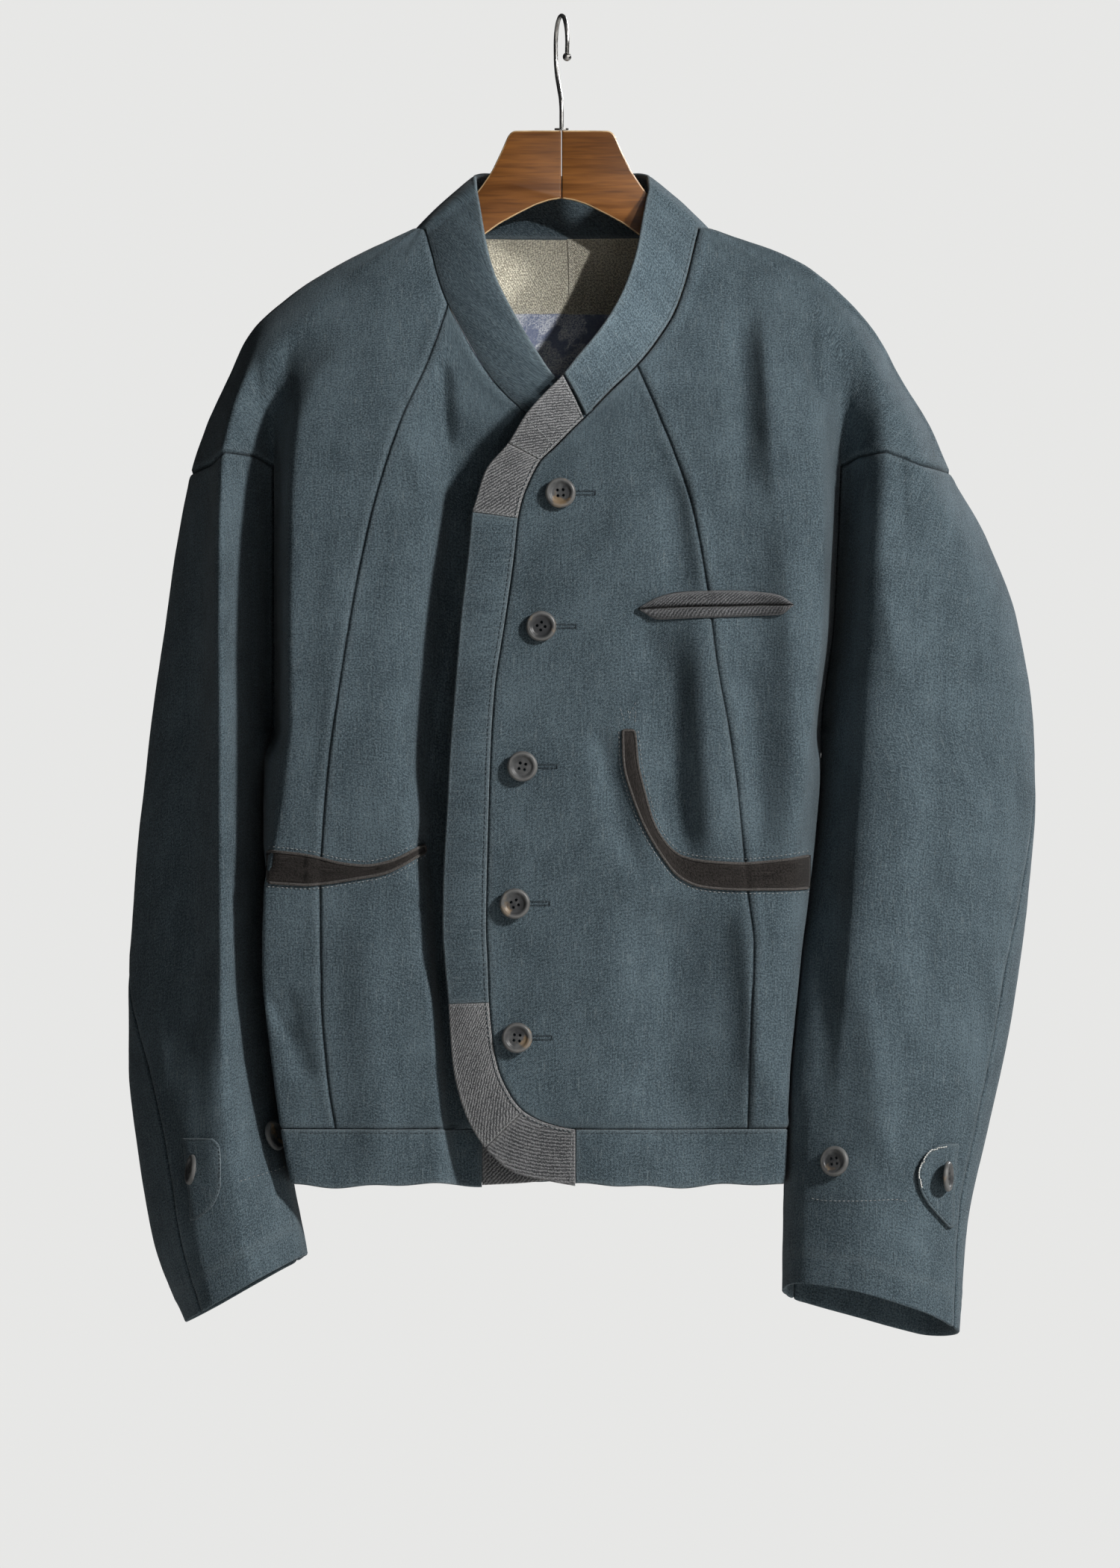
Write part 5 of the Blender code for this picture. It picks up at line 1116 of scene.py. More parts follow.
def strip(name, seam, edge, material, cut, crown=1.2, away=(0, -1, 0), groove=0.3, thick=2.2, **more):
    both = resample(np.hstack([seam, edge]), STEP)
    seam, edge = both[:, :3], both[:, 3:]
    width = np.linalg.norm(edge - seam, axis=1)
    u = (spaced(width, 9) / width[:, None])[..., None]
    points = seam[:, None] * (1 - u) + edge[:, None] * u
    normal = np.cross(np.gradient(points, axis=0), np.gradient(points, axis=1))
    normal /= np.maximum(np.linalg.norm(normal, axis=-1, keepdims=True), 1e-9)
    if (normal * away).sum() < 0:
        normal = -normal
    points = points + normal * crown * np.sin(np.pi * u)
    side = "left" if "left" in name or "lapel" in name else "right"
    return wall_of(name, points, normal, thick, 0.5 - thick, cut, material, groove=groove, turn=True,
                   rests_on=(f"{side}_front_centre",), **more)


def round_neck(halves, back):
    """The right front's points upward, then the back's, then the left front's downward."""
    right, left = halves["right"], halves["left"]
    return np.concatenate([right[::-3][:-1], right[:1], back, left[:1], left[3::3]])


seams, edges = {}, {}
for side, last in (("right", 9), ("left", 7)):
    seams[side], edges[side] = band_stretch(side, 0, last)
rows = [dict(zip(BACK_NECK_COLUMNS, r)) for r in BACK_NECK]
stations = np.array([r["station"] for r in rows] + [24 - r["station"] for r in rows[-2::-1]])
signs = np.array([-1] * len(rows) + [1] * (len(rows) - 1))
low = np.interp(stations, [9, 10, 12, 14, 15], [-140.6, -142.4, -145.2, -142.4, -140.6])
seam = body("back", low, np.clip(stations - 10, 0, 4))
seam[0] = head("right", low[:1], np.array([5.0]))[0]
seam[-1] = head("left", low[-1:], np.array([5.0]))[0]
edge = np.array([[g * r["edge_x"], -r["edge_d"], r["edge_z"]] for g, r in zip(signs, rows + rows[-2::-1])])
seam, edge = round_neck(seams, seam), round_neck(edges, edge)
outward = (seam - edge) / np.linalg.norm(seam - edge, axis=1, keepdims=True)
seam = seam + outward * 0.5 * (seam[:, :1] < 0)     # the right seam is drawn tight
strip("neckband", seam, edge, "indigo_twill", (780, 90), thick=3.0)
for name, side, first, last, material, cut in [
        ("lapel_patch_upper", "left", 7, 10, "grey_twill", (75, 85)),
        ("lapel_patch_lower", "left", 10, 13, "grey_twill", (75, 60)),
        ("front_band_left", "left", 13, 22, "indigo_twill", (75, 325)),
        ("corner_patch_upper_left", "left", 22, 26, "grey_twill", (80, 90)),
        ("corner_patch_lower_left", "left", 26, 29, "ribbed", (80, 65)),
        ("front_band_right", "right", 9.06, 22, "indigo_twill", (75, 400)),
        ("corner_patch_right", "right", 22, 29, "grey_twill", (80, 170))]:
    strip(name, *band_stretch(side, first, last), material, cut)

# %% [markdown]
# ## Hem band

# %%


WAVE_START, WAVE_FADE = 6, 26      # the hem's waves begin this far below its seam, and grow over this


def hem_band(name, runs, cut, rests_on):
    """runs: (form, first, last) stretches that follow one another round the hem."""
    even = np.linspace(HEM, HEM_SEAM, round(37 / STEP) + 1)
    z = np.unique(np.concatenate([even, HEM_SEAM - EDGE, HEM + EDGE]))[::-1]
    parts = []
    for shape, first, last in runs:
        s, _ = across(shape, z, first, last)
        part = shape(z[:, None], s)
        parts.append(part if not parts else part[:, 1:])
    points = np.concatenate(parts, 1)
    loose = smooth((HEM_SEAM - WAVE_START - points[..., 2]) / WAVE_FADE)
    x = points[..., 0]
    points[..., 2] += loose * (1.1 * np.sin(x / 17 + 0.6) + 0.8 * np.sin(x / 7.3))
    normal = np.cross(np.gradient(points, axis=0), np.gradient(points, axis=1))
    normal /= np.maximum(np.linalg.norm(normal, axis=-1, keepdims=True), 1e-9)
    if (normal * (points - points.mean((0, 1)))).sum() < 0 and "back" in name:
        normal = -normal
    if "front" in name and (normal * np.array([0, -1, 0])).sum() < 0:
        normal = -normal
    return wall_of(name, points, normal, 2.2, 0.4 - 2.2, cut, "indigo_twill", groove=0.25, rests_on=rests_on)


z_hem = np.array([HEM_SEAM])
start = {side: station_at(side, z_hem, [CORNER[side][-1][0] - 3.0])[0] for side in SIDES}
for side in SIDES:
    shape = lambda z, s, side=side: body(side, z, s)
    side_wall = lambda z, w, side=side: wall(side, z, w)
    runs = [(shape, start[side], 4.0), (side_wall, 0.0, 1.0)]
    hem_band(f"hem_band_{side}_front", runs, (190 if side == "right" else 215, 90), (f"{side}_front_side",))
back_runs = [(lambda z, w: wall("right", z, w), 1.0, 2.0),
             (lambda z, s: body("back", z, s), 0.0, 4.0),
             (lambda z, w: wall("left", z, w), 2.0, 1.0)]
hem_band("hem_band_back", back_runs, (430, 90), ("back_panel",))
# %% [markdown]
# ## Pockets, welt and cuff tabs
#
# What lies on a panel is laid on the finished panel itself: each point is dropped onto its mesh.

# %%
POCKETS = {
    "left": {"outer": [(40, -470), (41, -492), (46, -511), (53.5, -531), (64, -550), (76, -565), (88, -571),
                       (101, -573), (121, -574), (134, -574), (148, -573.8), (163, -573)],
             "inner": [(47, -470), (49.5, -492), (54, -511), (59.5, -530), (68.5, -545), (78, -552.5),
                       (89, -555),
                       (102, -556), (119, -557), (134, -556), (148, -554.2), (163, -551.5)]},
    "right": {"outer": [(90, -549), (96, -553), (104, -558), (116, -563.5), (135, -567), (154, -570),
                        (167, -571),
                        (179, -570.4), (193, -569.5)],
              "inner": [(91, -545), (97, -548), (105, -552.5), (114, -556), (128, -558.5), (144, -557),
                        (162, -552.5), (176, -550.4), (193, -548.8)]}}
WELT_TOP = [(50, -389.6), (63, -382.7), (78, -379.4), (109, -378.4), (130, -379.4), (143, -381.6), (151.5, -387.4)]
WELT_SLIT = [(50, -390.4), (63, -390), (78, -389.6), (109, -388.8), (130, -388.2), (143, -387.9), (151.5, -387.8)]
WELT_LOW = [(50, -390.8), (64, -397.4), (79, -397), (109, -396), (130, -395), (143, -394.5), (151.5, -388.4)]


def lay(names, points, lift=0.0, facing=(0, -1, 0)):
    """Points dropped onto the nearest of the named pieces along a direction, and the normals there."""
    way = Vector(facing)
    out, normal = [], []
    for p in np.reshape(points, (-1, 3)):
        best = None
        for name in names:
            hit = TREES[name].ray_cast(Vector(p) + way * 250, -way, 400)
            if hit[0] is not None and (best is None or (hit[0] - best[0]).dot(way) > 0):
                best = hit
        if best is None:
            best = min((TREES[name].find_nearest(Vector(p)) for name in names), key=lambda h: h[3])
        n = best[1] if best[1].dot(way) > 0 else -best[1]
        out.append(best[0] + n * lift)
        normal.append(n)
    shape = np.shape(points)
    return np.array(out).reshape(shape), np.array(normal).reshape(shape)


def smooth_rows(values, times=3):
    """Evens out normals along a grid, so that a laid piece doesn't copy every bump."""
    for _ in range(times):
        for axis in range(values.ndim - 1):
            v = np.moveaxis(values, axis, 0)
            v = (np.concatenate([v[:1], v[:-1]]) + np.concatenate([v[1:], v[-1:]]) + 2 * v) / 4
            values = np.moveaxis(v, 0, axis)
    return values


def between(first, second, spacing=1.6, step=2.0):
    """A grid between two matched outlines, fine across and along."""
    both = np.hstack([np.array(first, float), np.array(second, float)])
    t = np.arange(len(both), dtype=float)
    length = np.linalg.norm(np.diff(both[:, :2], axis=0), axis=1).sum()
    both = pchip(t, both, np.linspace(0, len(both) - 1, max(6, int(length / step))))
    width = np.linalg.norm(both[:, 2:] - both[:, :2], axis=1)
    u = np.linspace(0, 1, max(5, int(width.max() / spacing)))[None, :, None]
    return both[:, None, :2] * (1 - u) + both[:, None, 2:] * u


def fronts(side):
    return [f"{side}_front_side", f"{side}_front_centre"]


def laid_piece(name, side, first, second, thick, lift, cut, material, round_off=None, bulge=0.0):
    flat = between(first, second)
    points = np.stack([flat[..., 0] * SIDES[side], 0 * flat[..., 0], flat[..., 1]], -1)
    points, normal = lay(fronts(side), points)
    points[1:-1, 1:-1] = smooth_rows(points, 1)[1:-1, 1:-1]
    normal = np.array([0, -1, 0]) * 0.4 + normal * 0.6
    normal /= np.linalg.norm(normal, axis=-1, keepdims=True)
    across_u = np.sin(np.pi * np.linspace(0, 1, points.shape[1]))[None, :, None]
    return wall_of(name, points + normal * bulge * across_u, normal, thick, lift, cut, material,
                   round_off=round_off, rests_on=(fronts(side)[0],))


def darken(piece, amount):
    """Darkens a finished piece through its wear attribute, for dark seam marks and for painted shade: amount is 1
    where the cloth is darkest.
    """
    data = piece.data.attributes["wear"].data
    points = np.array([v.co for v in piece.data.vertices]) / MM
    old = np.array([v.value for v in data])
    data.foreach_set("value", np.minimum(old, 1 - amount(points) * 2.2).astype(np.float32))


def tube_mesh(path, radius, sides=8):
    """Points, faces and texture coordinates of a round tube along a path, closed at its ends."""
    path = np.asarray(path, float)
    way = np.gradient(path, axis=0)
    way /= np.linalg.norm(way, axis=1, keepdims=True)
    ref = np.cross(way, [0, 1, 0.01])
    weak = np.linalg.norm(ref, axis=1) < 0.15
    ref[weak] = np.cross(way[weak], [1, 0, 0])
    for k in range(1, len(ref)):
        r = ref[k - 1] - way[k] * (ref[k - 1] @ way[k])
        ref[k] = r
    ref /= np.linalg.norm(ref, axis=1, keepdims=True)
    other = np.cross(way, ref)
    a = np.linspace(0, 2 * np.pi, sides, endpoint=False)
    radius = np.broadcast_to(radius, len(path))
    ring = (path[:, None] + radius[:, None, None] * (ref[:, None] * np.cos(a)[None, :, None]
                                                     + other[:, None] * np.sin(a)[None, :, None]))
    rows = len(path)
    faces, coords = [], []
    arc = np.concatenate([[0], np.linalg.norm(np.diff(path, axis=0), axis=1).cumsum()])
    for r in range(rows - 1):
        for k in range(sides):
            m = (k + 1) % sides
            faces.append([r * sides + k, r * sides + m, (r + 1) * sides + m, (r + 1) * sides + k])
            coords += [(k, arc[r]), (k + 1, arc[r]), (k + 1, arc[r + 1]), (k, arc[r + 1])]
    for r in (0, rows - 1):
        cap = list(range(r * sides, r * sides + sides))
        faces.append(cap[::-1] if r == 0 else cap)
        coords += [(k, arc[r]) for k in range(sides)]
    return ring.reshape(-1, 3), faces, np.array(coords, float) * MM


def tube(name, path, radius, material, solids=None, sides=8):
    points, faces, coords = tube_mesh(path, radius, sides)
    piece = make(name, points, faces, coords, LOOKS[material], np.zeros(len(points)),
                 (name,) if solids is None else solids)
    TREES[name] = BVHTree.FromPolygons(points.tolist(), faces)
    return piece


for side, outline in POCKETS.items():
    facing = laid_piece(f"{side}_pocket_facing", side, outline["outer"], outline["inner"], 1.0, 0.2,
                        (148 if side == "left" else 100, 32), "brown_facing")
    if side == "right":
        darken(facing, lambda p: np.maximum(np.exp(-((p[:, 0] + 167.6) / 1.0) ** 2), np.exp(
            -((p[:, 0] + 120.5) / 0.9) ** 2) * (p[:, 2] > -561)))
    path = np.array(outline["inner"][::-1] + outline["outer"], float)
    path = pchip(np.arange(len(path)), path, np.linspace(0, len(path) - 1, 150))
    points, normal = lay(fronts(side), np.stack([path[:, 0] * SIDES[side], 0 * path[:, 0], path[:, 1]], -1), 1.1)
    tube(f"{side}_pocket_piping", smooth_rows(points, 2)[1:-1], 0.95, "brown_piping")
slit = np.array(WELT_SLIT, float)
# Painted shade along the welt's slit: both lips darken towards it, over a width that follows how far it gapes,
# half as much on the lower lip.
slit_shade_width = lambda x: np.interp(x, [50, 60, 84, 110, 152], [0.6, 2.6, 2.8, 1.6, 0.5])
for name, first, second in (("chest_welt_upper", WELT_SLIT, WELT_TOP), ("chest_welt_lower", WELT_LOW, WELT_SLIT)):
    piece = laid_piece(name, "left", first, second, 2.4, 0.3, (108, 22), "welt_twill", 2.2, 1.6)
    darken(piece, lambda p: np.exp(-(np.abs(p[:, 2] - np.interp(p[:, 0], slit[:, 0], slit[:, 1])) / slit_shade_width(
        p[:, 0])) ** 2.5) * (0.5 if "lower" in name else 1))

TABS = {"right": [(-737, 227, 248), (-742, 222.5, 247.5), (-754, 221.5, 246), (-767, 221.5, 244.5),
                  (-780, 226, 243), (-791, 238.5, 242)],
        "left": [(-740, 249, 259), (-744, 240.6, 259), (-751, 234, 258.5), (-759.5, 231, 258),
                 (-768, 232, 257),
                 (-777, 236, 256.5), (-788, 245, 256), (-796, 252.5, 255.5)]}
for side, rows in TABS.items():
    rows = np.array(rows, float)
    flat = between(np.stack([rows[:, 2], rows[:, 0]], -1), np.stack([rows[:, 1], rows[:, 0]], -1), 1.2, 1.2)
    points = np.stack([flat[..., 0] * SIDES[side], 0 * flat[..., 0], flat[..., 1]], -1)
    points, normal = lay([f"{side}_sleeve_top", f"{side}_sleeve_under"], points)
    points, normal = smooth_rows(points, 2), smooth_rows(normal, 4)
    normal /= np.linalg.norm(normal, axis=-1, keepdims=True)
    stand = np.linspace(0.2, 1.4, points.shape[1])[None, :, None]
    wall_of(f"{side}_cuff_tab", points + normal * stand, normal, 2.0, 0.3, (60, 40), "indigo_twill", groove=0.25,
            rests_on=(f"{side}_sleeve_top",))

# %% [markdown]
# ## Inside the back neck

# %%
FACING_TOP, FACING_LOW, LINING_LOW = -143.5, -194, -261


def inside(name, top, low, first, last, cut, material, lift=1.2):
    """A layer on the inside of the back, between two stations."""
    z = levels(top, low)
    shape = lambda z, s: body("back", z, s)
    s, at = across(shape, z, first, last)
    points = shape(z[:, None], s)
    normal = np.cross(np.gradient(points, axis=0), np.gradient(points, axis=1))
    normal /= np.maximum(np.linalg.norm(normal, axis=-1, keepdims=True), 1e-9)
    if (normal * np.array([0, -1, 0])).sum() < 0:
        normal = -normal
    return wall_of(name, points, normal, 0.8, lift, cut, material, start=first * 40.0, round_off=0.5,
                   rests_on=("back_panel",))


inside("neck_facing_right", FACING_TOP, FACING_LOW, 1.0, 2.06, (105, 55), "cream_linen", 0.8)
inside("neck_facing_left", FACING_TOP, FACING_LOW, 2.05, 3.0, (100, 55), "cream_linen", 1.5)
inside("neck_lining_patch", FACING_LOW + 4, LINING_LOW, 1.0, 3.0, (235, 78), "mottled_cotton", 0.6)

# %% [markdown]
# ## Stitching
#
# Each stitch is a short thread, thicker in the middle and sunk at its ends, laid on the pieces under it.

# %%


def stitch_mesh(at, way, normal, length=2.5, radius=0.26, rise=0.32):
    """Threads at the given middles: five rings of five points each."""
    t = np.linspace(-1, 1, 5)
    size = np.array([0.35, 0.9, 1.0, 0.9, 0.35]) * radius
    height = np.array([-0.2, 0.7, 1.0, 0.7, -0.2]) * rise
    side = np.cross(way, normal)
    side /= np.linalg.norm(side, axis=1, keepdims=True)
    up = np.cross(side, way)
    a = np.linspace(0, 2 * np.pi, 5, endpoint=False)
    length = np.broadcast_to(length, len(at))
    mid = at[:, None] + way[:, None] * (t[None, :, None] * length[:, None, None] / 2) \
        + up[:, None] * height[None, :, None]
    ring = mid[:, :, None] + size[None, :, None, None] * (
        side[:, None, None] * np.cos(a)[None, None, :, None] + up[:, None, None] * np.sin(a)[None, None, :, None])
    one = []
    for r in range(4):
        for k in range(5):
            m = (k + 1) % 5
            one.append([r * 5 + k, r * 5 + m, r * 5 + 5 + m, r * 5 + 5 + k])
    faces = (np.array(one)[None] + 25 * np.arange(len(at))[:, None, None]).reshape(-1, 4)
    return ring.reshape(-1, 3), faces.tolist()


THREADS = {}


def stitches(group, lines, names, pitch=3.2, length=2.4, radius=0.24, facing=None, lift=0.1, rise=0.3):
    """Rows of stitches along lines of points, laid on the named pieces."""
    for line in lines:
        line = np.asarray(line, float)
        arc = np.concatenate([[0], np.linalg.norm(np.diff(line, axis=0), axis=1).cumsum()])
        if arc[-1] < pitch:
            continue
        count = int(arc[-1] / pitch)
        at = (np.arange(count) + 0.5) * arc[-1] / count
        pick = lambda d: np.stack([np.interp(d, arc, c) for c in line.T], 1)
        points, before, after = pick(at), pick(at - 0.4), pick(at + 0.4)
        if facing is not None:
            points, normal = lay(names, points, 0.0, facing)
        else:
            hits = [min((TREES[n].find_nearest(Vector(p)) for n in names), key=lambda h: h[3])
                    for p in points]
            points, normal = np.array([h[0] for h in hits]), np.array([h[1] for h in hits])
        way = after - before
        way -= normal * (way * normal).sum(1, keepdims=True)
        way /= np.linalg.norm(way, axis=1, keepdims=True)
        threads = stitch_mesh(points + normal * lift, way, normal, length, radius, rise)
        THREADS.setdefault(group, []).append(threads)


def sew(group, material="thread"):
    """One object of all the threads of a group."""
    points, faces, offset = [], [], 0
    for p, f in THREADS[group]:
        points.append(p)
        faces += [[v + offset for v in face] for face in f]
        offset += len(p)
    points = np.concatenate(points)
    corners = [v for f in faces for v in f]
    coords = points[corners][:, [0, 2]] * MM
    return make(group, points, faces, coords, LOOKS[material], np.zeros(len(points)))


def on_front(side, pairs):
    pairs = np.array(pairs, float)
    return np.stack([pairs[:, 0] * SIDES[side], 0 * pairs[:, 0], pairs[:, 1]], -1)


def offset_line(points, away, distance):
    """A line moved sideways towards another matched line."""
    way = away - points
    return points + way / np.linalg.norm(way, axis=1, keepdims=True) * distance


AHEAD = (0, -1, 0)
PATCH_STITCH = dict(pitch=3.0, length=1.9, radius=0.34, facing=AHEAD)
POCKET_STITCH = dict(pitch=2.9, length=1.7, radius=0.3, facing=AHEAD)
CUFF_HEM_STITCH = dict(pitch=2.8, length=1.8, radius=0.32, facing=AHEAD)
TAB_STITCH = dict(pitch=2.6, length=1.9, radius=0.2, facing=AHEAD)
BARE_EDGE_HIGHLIGHT = dict(pitch=1.5, length=1.8, radius=0.5, facing=AHEAD, lift=0.3, rise=0.5)
HOLE_SIDE = dict(pitch=1.3, length=1.5, radius=0.22, facing=AHEAD, lift=0.1, rise=0.2)
HOLE_END = dict(pitch=3.7, length=3.6, radius=0.3, facing=AHEAD, lift=0.15, rise=0.25)
bands = ["neckband", "lapel_patch_upper", "lapel_patch_lower", "front_band_left", "corner_patch_upper_left",
         "corner_patch_lower_left"]
seam_l, edge_l = band_stretch("left", 0.4, 28.8)
seam_r, edge_r = band_stretch("right", 0.4, 27.5)
line = lambda seam, edge, d, a=0, b=None: offset_line(seam[a:b], edge[a:b], d)
stitches("band_stitching", [line(seam_l, edge_l, 2.4)], bands, facing=AHEAD)
stitches("band_stitching", [line(seam_r, edge_r, 2.4, 0, 104)], ["neckband", "front_band_right"], facing=AHEAD)
stitches("band_stitching", [line(seam_l, edge_l, 26.5, 340)], bands, facing=AHEAD)
hem_line = [(x, HEM_SEAM - 2.6) for x in np.linspace(12, 142, 60)]
stitches("band_stitching", [on_front("left", hem_line)], ["hem_band_left_front"], facing=AHEAD)
hem_line = [(x, HEM_SEAM - 2.6) for x in np.linspace(54, 172, 60)]
stitches("band_stitching", [on_front("right", hem_line)], ["hem_band_right_front"], facing=AHEAD)
back_line = np.array([(x, 0, HEM_SEAM - 2.6) for x in np.linspace(-140, 118, 90)])
stitches("band_stitching", [back_line], ["hem_band_back"], facing=(0, 1, 0))
for side, outline in POCKETS.items():
    for key, shift in (("inner", 3.0), ("outer", -2.6)):
        path = np.array(outline[key], float)
        path = pchip(np.arange(len(path)), path, np.linspace(0, len(path) - 1, 60))
        way = np.gradient(path, axis=0)
        way /= np.linalg.norm(way, axis=1, keepdims=True)
        path = path + np.stack([-way[:, 1], way[:, 0]], 1) * shift
        stitches("pocket_stitching", [on_front(side, path)], fronts(side), **POCKET_STITCH)
spray = [[(45, -463), (43, -456)], [(41, -464), (38, -455)], [(48, -465), (48.5, -457)], [(44, -460), (49, -451)]]
stitches("pocket_stitching", [on_front("left", s) for s in spray], fronts("left"), 2.6, 2.0, 0.2, AHEAD)
sew("band_stitching")
sew("pocket_stitching", "pale_thread")

# Lines across the grey patches where they meet the next piece, and one mended seam.
rows_l = {side: band_stretch(side, 0, len(band_rows(side)) - 1) for side in SIDES}


def across_band(side, row, first=0.06, last=0.94):
    seam, edge = rows_l[side]
    k = row / (len(band_rows(side)) - 1) * (len(seam) - 1)
    a, b = (np.array([np.interp(k, np.arange(len(c)), v) for v in c.T]) for c in (seam, edge))
    return a + (b - a) * np.linspace(first, last, 20)[:, None]


for row in (7.08, 9.0, 9.93, 12.92, 22.1, 25.95, 28.8):
    stitches("patch_stitching", [across_band("left", row)], bands, **PATCH_STITCH)
stitches("patch_stitching", [across_band("left", 23.0, 0.02, 0.45)], bands, **PATCH_STITCH)
for first, last in ((7.1, 12.9), (22.1, 28.8)):
    seam, edge = band_stretch("left", first, last)
    stitches("patch_stitching", [line(seam, edge, 1.5)], bands, **PATCH_STITCH)
stitches("patch_stitching", [across_band("right", 28.8)], ["corner_patch_right"], **PATCH_STITCH)
sew("patch_stitching", "pale_thread")

cuff_lines = {"right": [(179, -753.5), (184, -757), (192, -759.5), (201, -762), (211, -765)],
              "left": [(163, -776), (175, -777.5), (190, -777.5), (205, -777), (219, -776.5), (226, -778)]}
for side, pairs in cuff_lines.items():
    pairs = np.array(pairs, float)
    pairs = pchip(pairs[:, 0], pairs, np.linspace(pairs[0, 0], pairs[-1, 0], 60))
    stitches("cuff_hem_stitching", [on_front(side, pairs)], [f"{side}_sleeve_top"], **CUFF_HEM_STITCH)
    rows = np.array(TABS[side], float)
    rim = np.stack([rows[:, 1] + (4.2 if side == "left" else 2.2), rows[:, 0]], -1)
    rim[0, 1] -= 2.0
    rim = pchip(np.arange(len(rim)), rim, np.linspace(0, len(rim) - 1, 40))
    stitches("cuff_stitching", [on_front(side, rim)], [f"{side}_cuff_tab"], **TAB_STITCH)
    if side == "left":                   # its upper edge is worn pale, its very pale threads also a painted highlight
        worn = rim[:24] - [1.3, 0]
        stitches("tab_edge_threads", [on_front(side, worn)], ["left_cuff_tab"], **BARE_EDGE_HIGHLIGHT)
sew("cuff_stitching")
sew("cuff_hem_stitching", "pale_thread")
sew("tab_edge_threads", "bare_thread")

# %% [markdown]
# ## Buttons and buttonholes
#
# One turned horn button, with four drilled holes and a rim, stands on each button solid's own axis.

# %%
PROFILE = [(0, 2.3), (3.6, 2.25), (5.4, 2.35), (6.3, 2.75), (6.9, 3.25), (7.6, 3.55), (8.4, 3.6), (9.1, 3.35),
           (9.6, 2.85), (9.9, 2.2), (10.0, 1.5), (9.7, 0.9), (9.0, 0.5), (6.5, 0.05), (0, 0.0)]


def button_mesh():
    t = np.arange(len(PROFILE), dtype=float)
    fine = pchip(t, np.array(PROFILE, float), np.linspace(0, len(PROFILE) - 1, 46))
    bm = bmesh.new()
    rings = []
    for r, h in fine:
        if r < 0.05:
            rings.append([bm.verts.new((0, 0, h))])
        else:
            rings.append([bm.verts.new((r * math.cos(a), r * math.sin(a), h))
                          for a in np.linspace(0, 2 * math.pi, 64, endpoint=False)])
    for a, b in zip(rings, rings[1:]):
        n = max(len(a), len(b))
        for k in range(n):
            quad = [a[k % len(a)], b[k % len(b)], b[(k + 1) % len(b)], a[(k + 1) % len(a)]]
            quad = [v for i, v in enumerate(quad) if v not in quad[:i]]
            bm.faces.new(quad[::-1])
    mesh = bpy.data.meshes.new("button")
    bm.to_mesh(mesh)
    bm.free()
    turned = bpy.data.objects.new("button_blank", mesh)
    bpy.context.scene.collection.objects.link(turned)
    drills = bmesh.new()
    for x in (-1.85, 1.85):
        for y in (-1.85, 1.85):
            bmesh.ops.create_cone(drills, cap_ends=True, segments=20, radius1=1.0, radius2=1.0, depth=12,
                                  matrix=Matrix.Translation((x, y, 0)))
    drill_mesh = bpy.data.meshes.new("drills")
    drills.to_mesh(drill_mesh)
    drills.free()
    drill = bpy.data.objects.new("drills", drill_mesh)
    bpy.context.scene.collection.objects.link(drill)
    cut = turned.modifiers.new("holes", "BOOLEAN")
    cut.object, cut.operation, cut.solver = drill, "DIFFERENCE", "EXACT"
    done = bpy.data.meshes.new_from_object(turned.evaluated_get(bpy.context.evaluated_depsgraph_get()))
    for obj in (turned, drill):
        bpy.data.objects.remove(obj, do_unlink=True)
    return done


blank = button_mesh()
blank_points = np.array([v.co for v in blank.vertices])
blank_faces = [list(f.vertices) for f in blank.polygons]


def solid_axis(name):
    """Middle and outward axis of a button solid."""
    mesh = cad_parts[name].data
    points = np.array([v.co for v in mesh.vertices]) / MM
    _, _, axes = np.linalg.svd(points - points.mean(0), full_matrices=False)
    axis = axes[2]
    return points.mean(0), axis if axis[1] < 0 else -axis, points


def button(name, spin):
    middle, axis, points = solid_axis(name)
    height = (points - middle) @ axis
    seat = middle + axis * height.min()
    turn = axis_frame(axis, spin)
    place = blank_points @ turn.T + seat
    radius = np.linalg.norm(blank_points[:, :2], axis=1)
    wear = np.exp(-((radius - 8.6) / 0.9) ** 2) * (blank_points[:, 2] > 2.8) \
        + 0.8 * np.exp(-((radius - 9.8) / 0.35) ** 2)
    corners = [v for f in blank_faces for v in f]
    piece = make(name, place, blank_faces, blank_points[corners][:, :2] * MM, LOOKS["horn"],
                 np.clip(wear, 0, 1), (name,))
    piece.data.set_sharp_from_angle(angle=math.radians(50))
    shank = tube_mesh([(0, 0, -1.8), (0, 0, -0.6), (0, 0, 0.8)], 1.6, 10)
    THREADS.setdefault("button_thread", []).append((shank[0] @ turn.T + seat, shank[1]))
    return seat, axis


def axis_frame(axis, spin):
    """Rotation that stands +Z on the axis, turned by spin degrees about it."""
    up = np.array([0, 0, 1.0]) - axis * axis[2]
    up /= np.linalg.norm(up)
    right = np.cross(up, axis)
    a = math.radians(spin)
    return np.stack([right * math.cos(a) + up * math.sin(a), up * math.cos(a) - right * math.sin(a), axis], 1)


SPINS = {"front_button_1": 4, "front_button_2": 38, "front_button_3": -12, "front_button_4": 25,
         "front_button_5": -6, "left_cuff_front_button": 8, "left_cuff_tab_button": 0,
         "right_cuff_front_button": 0, "right_cuff_tab_button": 0}
seats = {name: button(name, spin) for name, spin in SPINS.items()}
sew("button_thread", "button_thread")

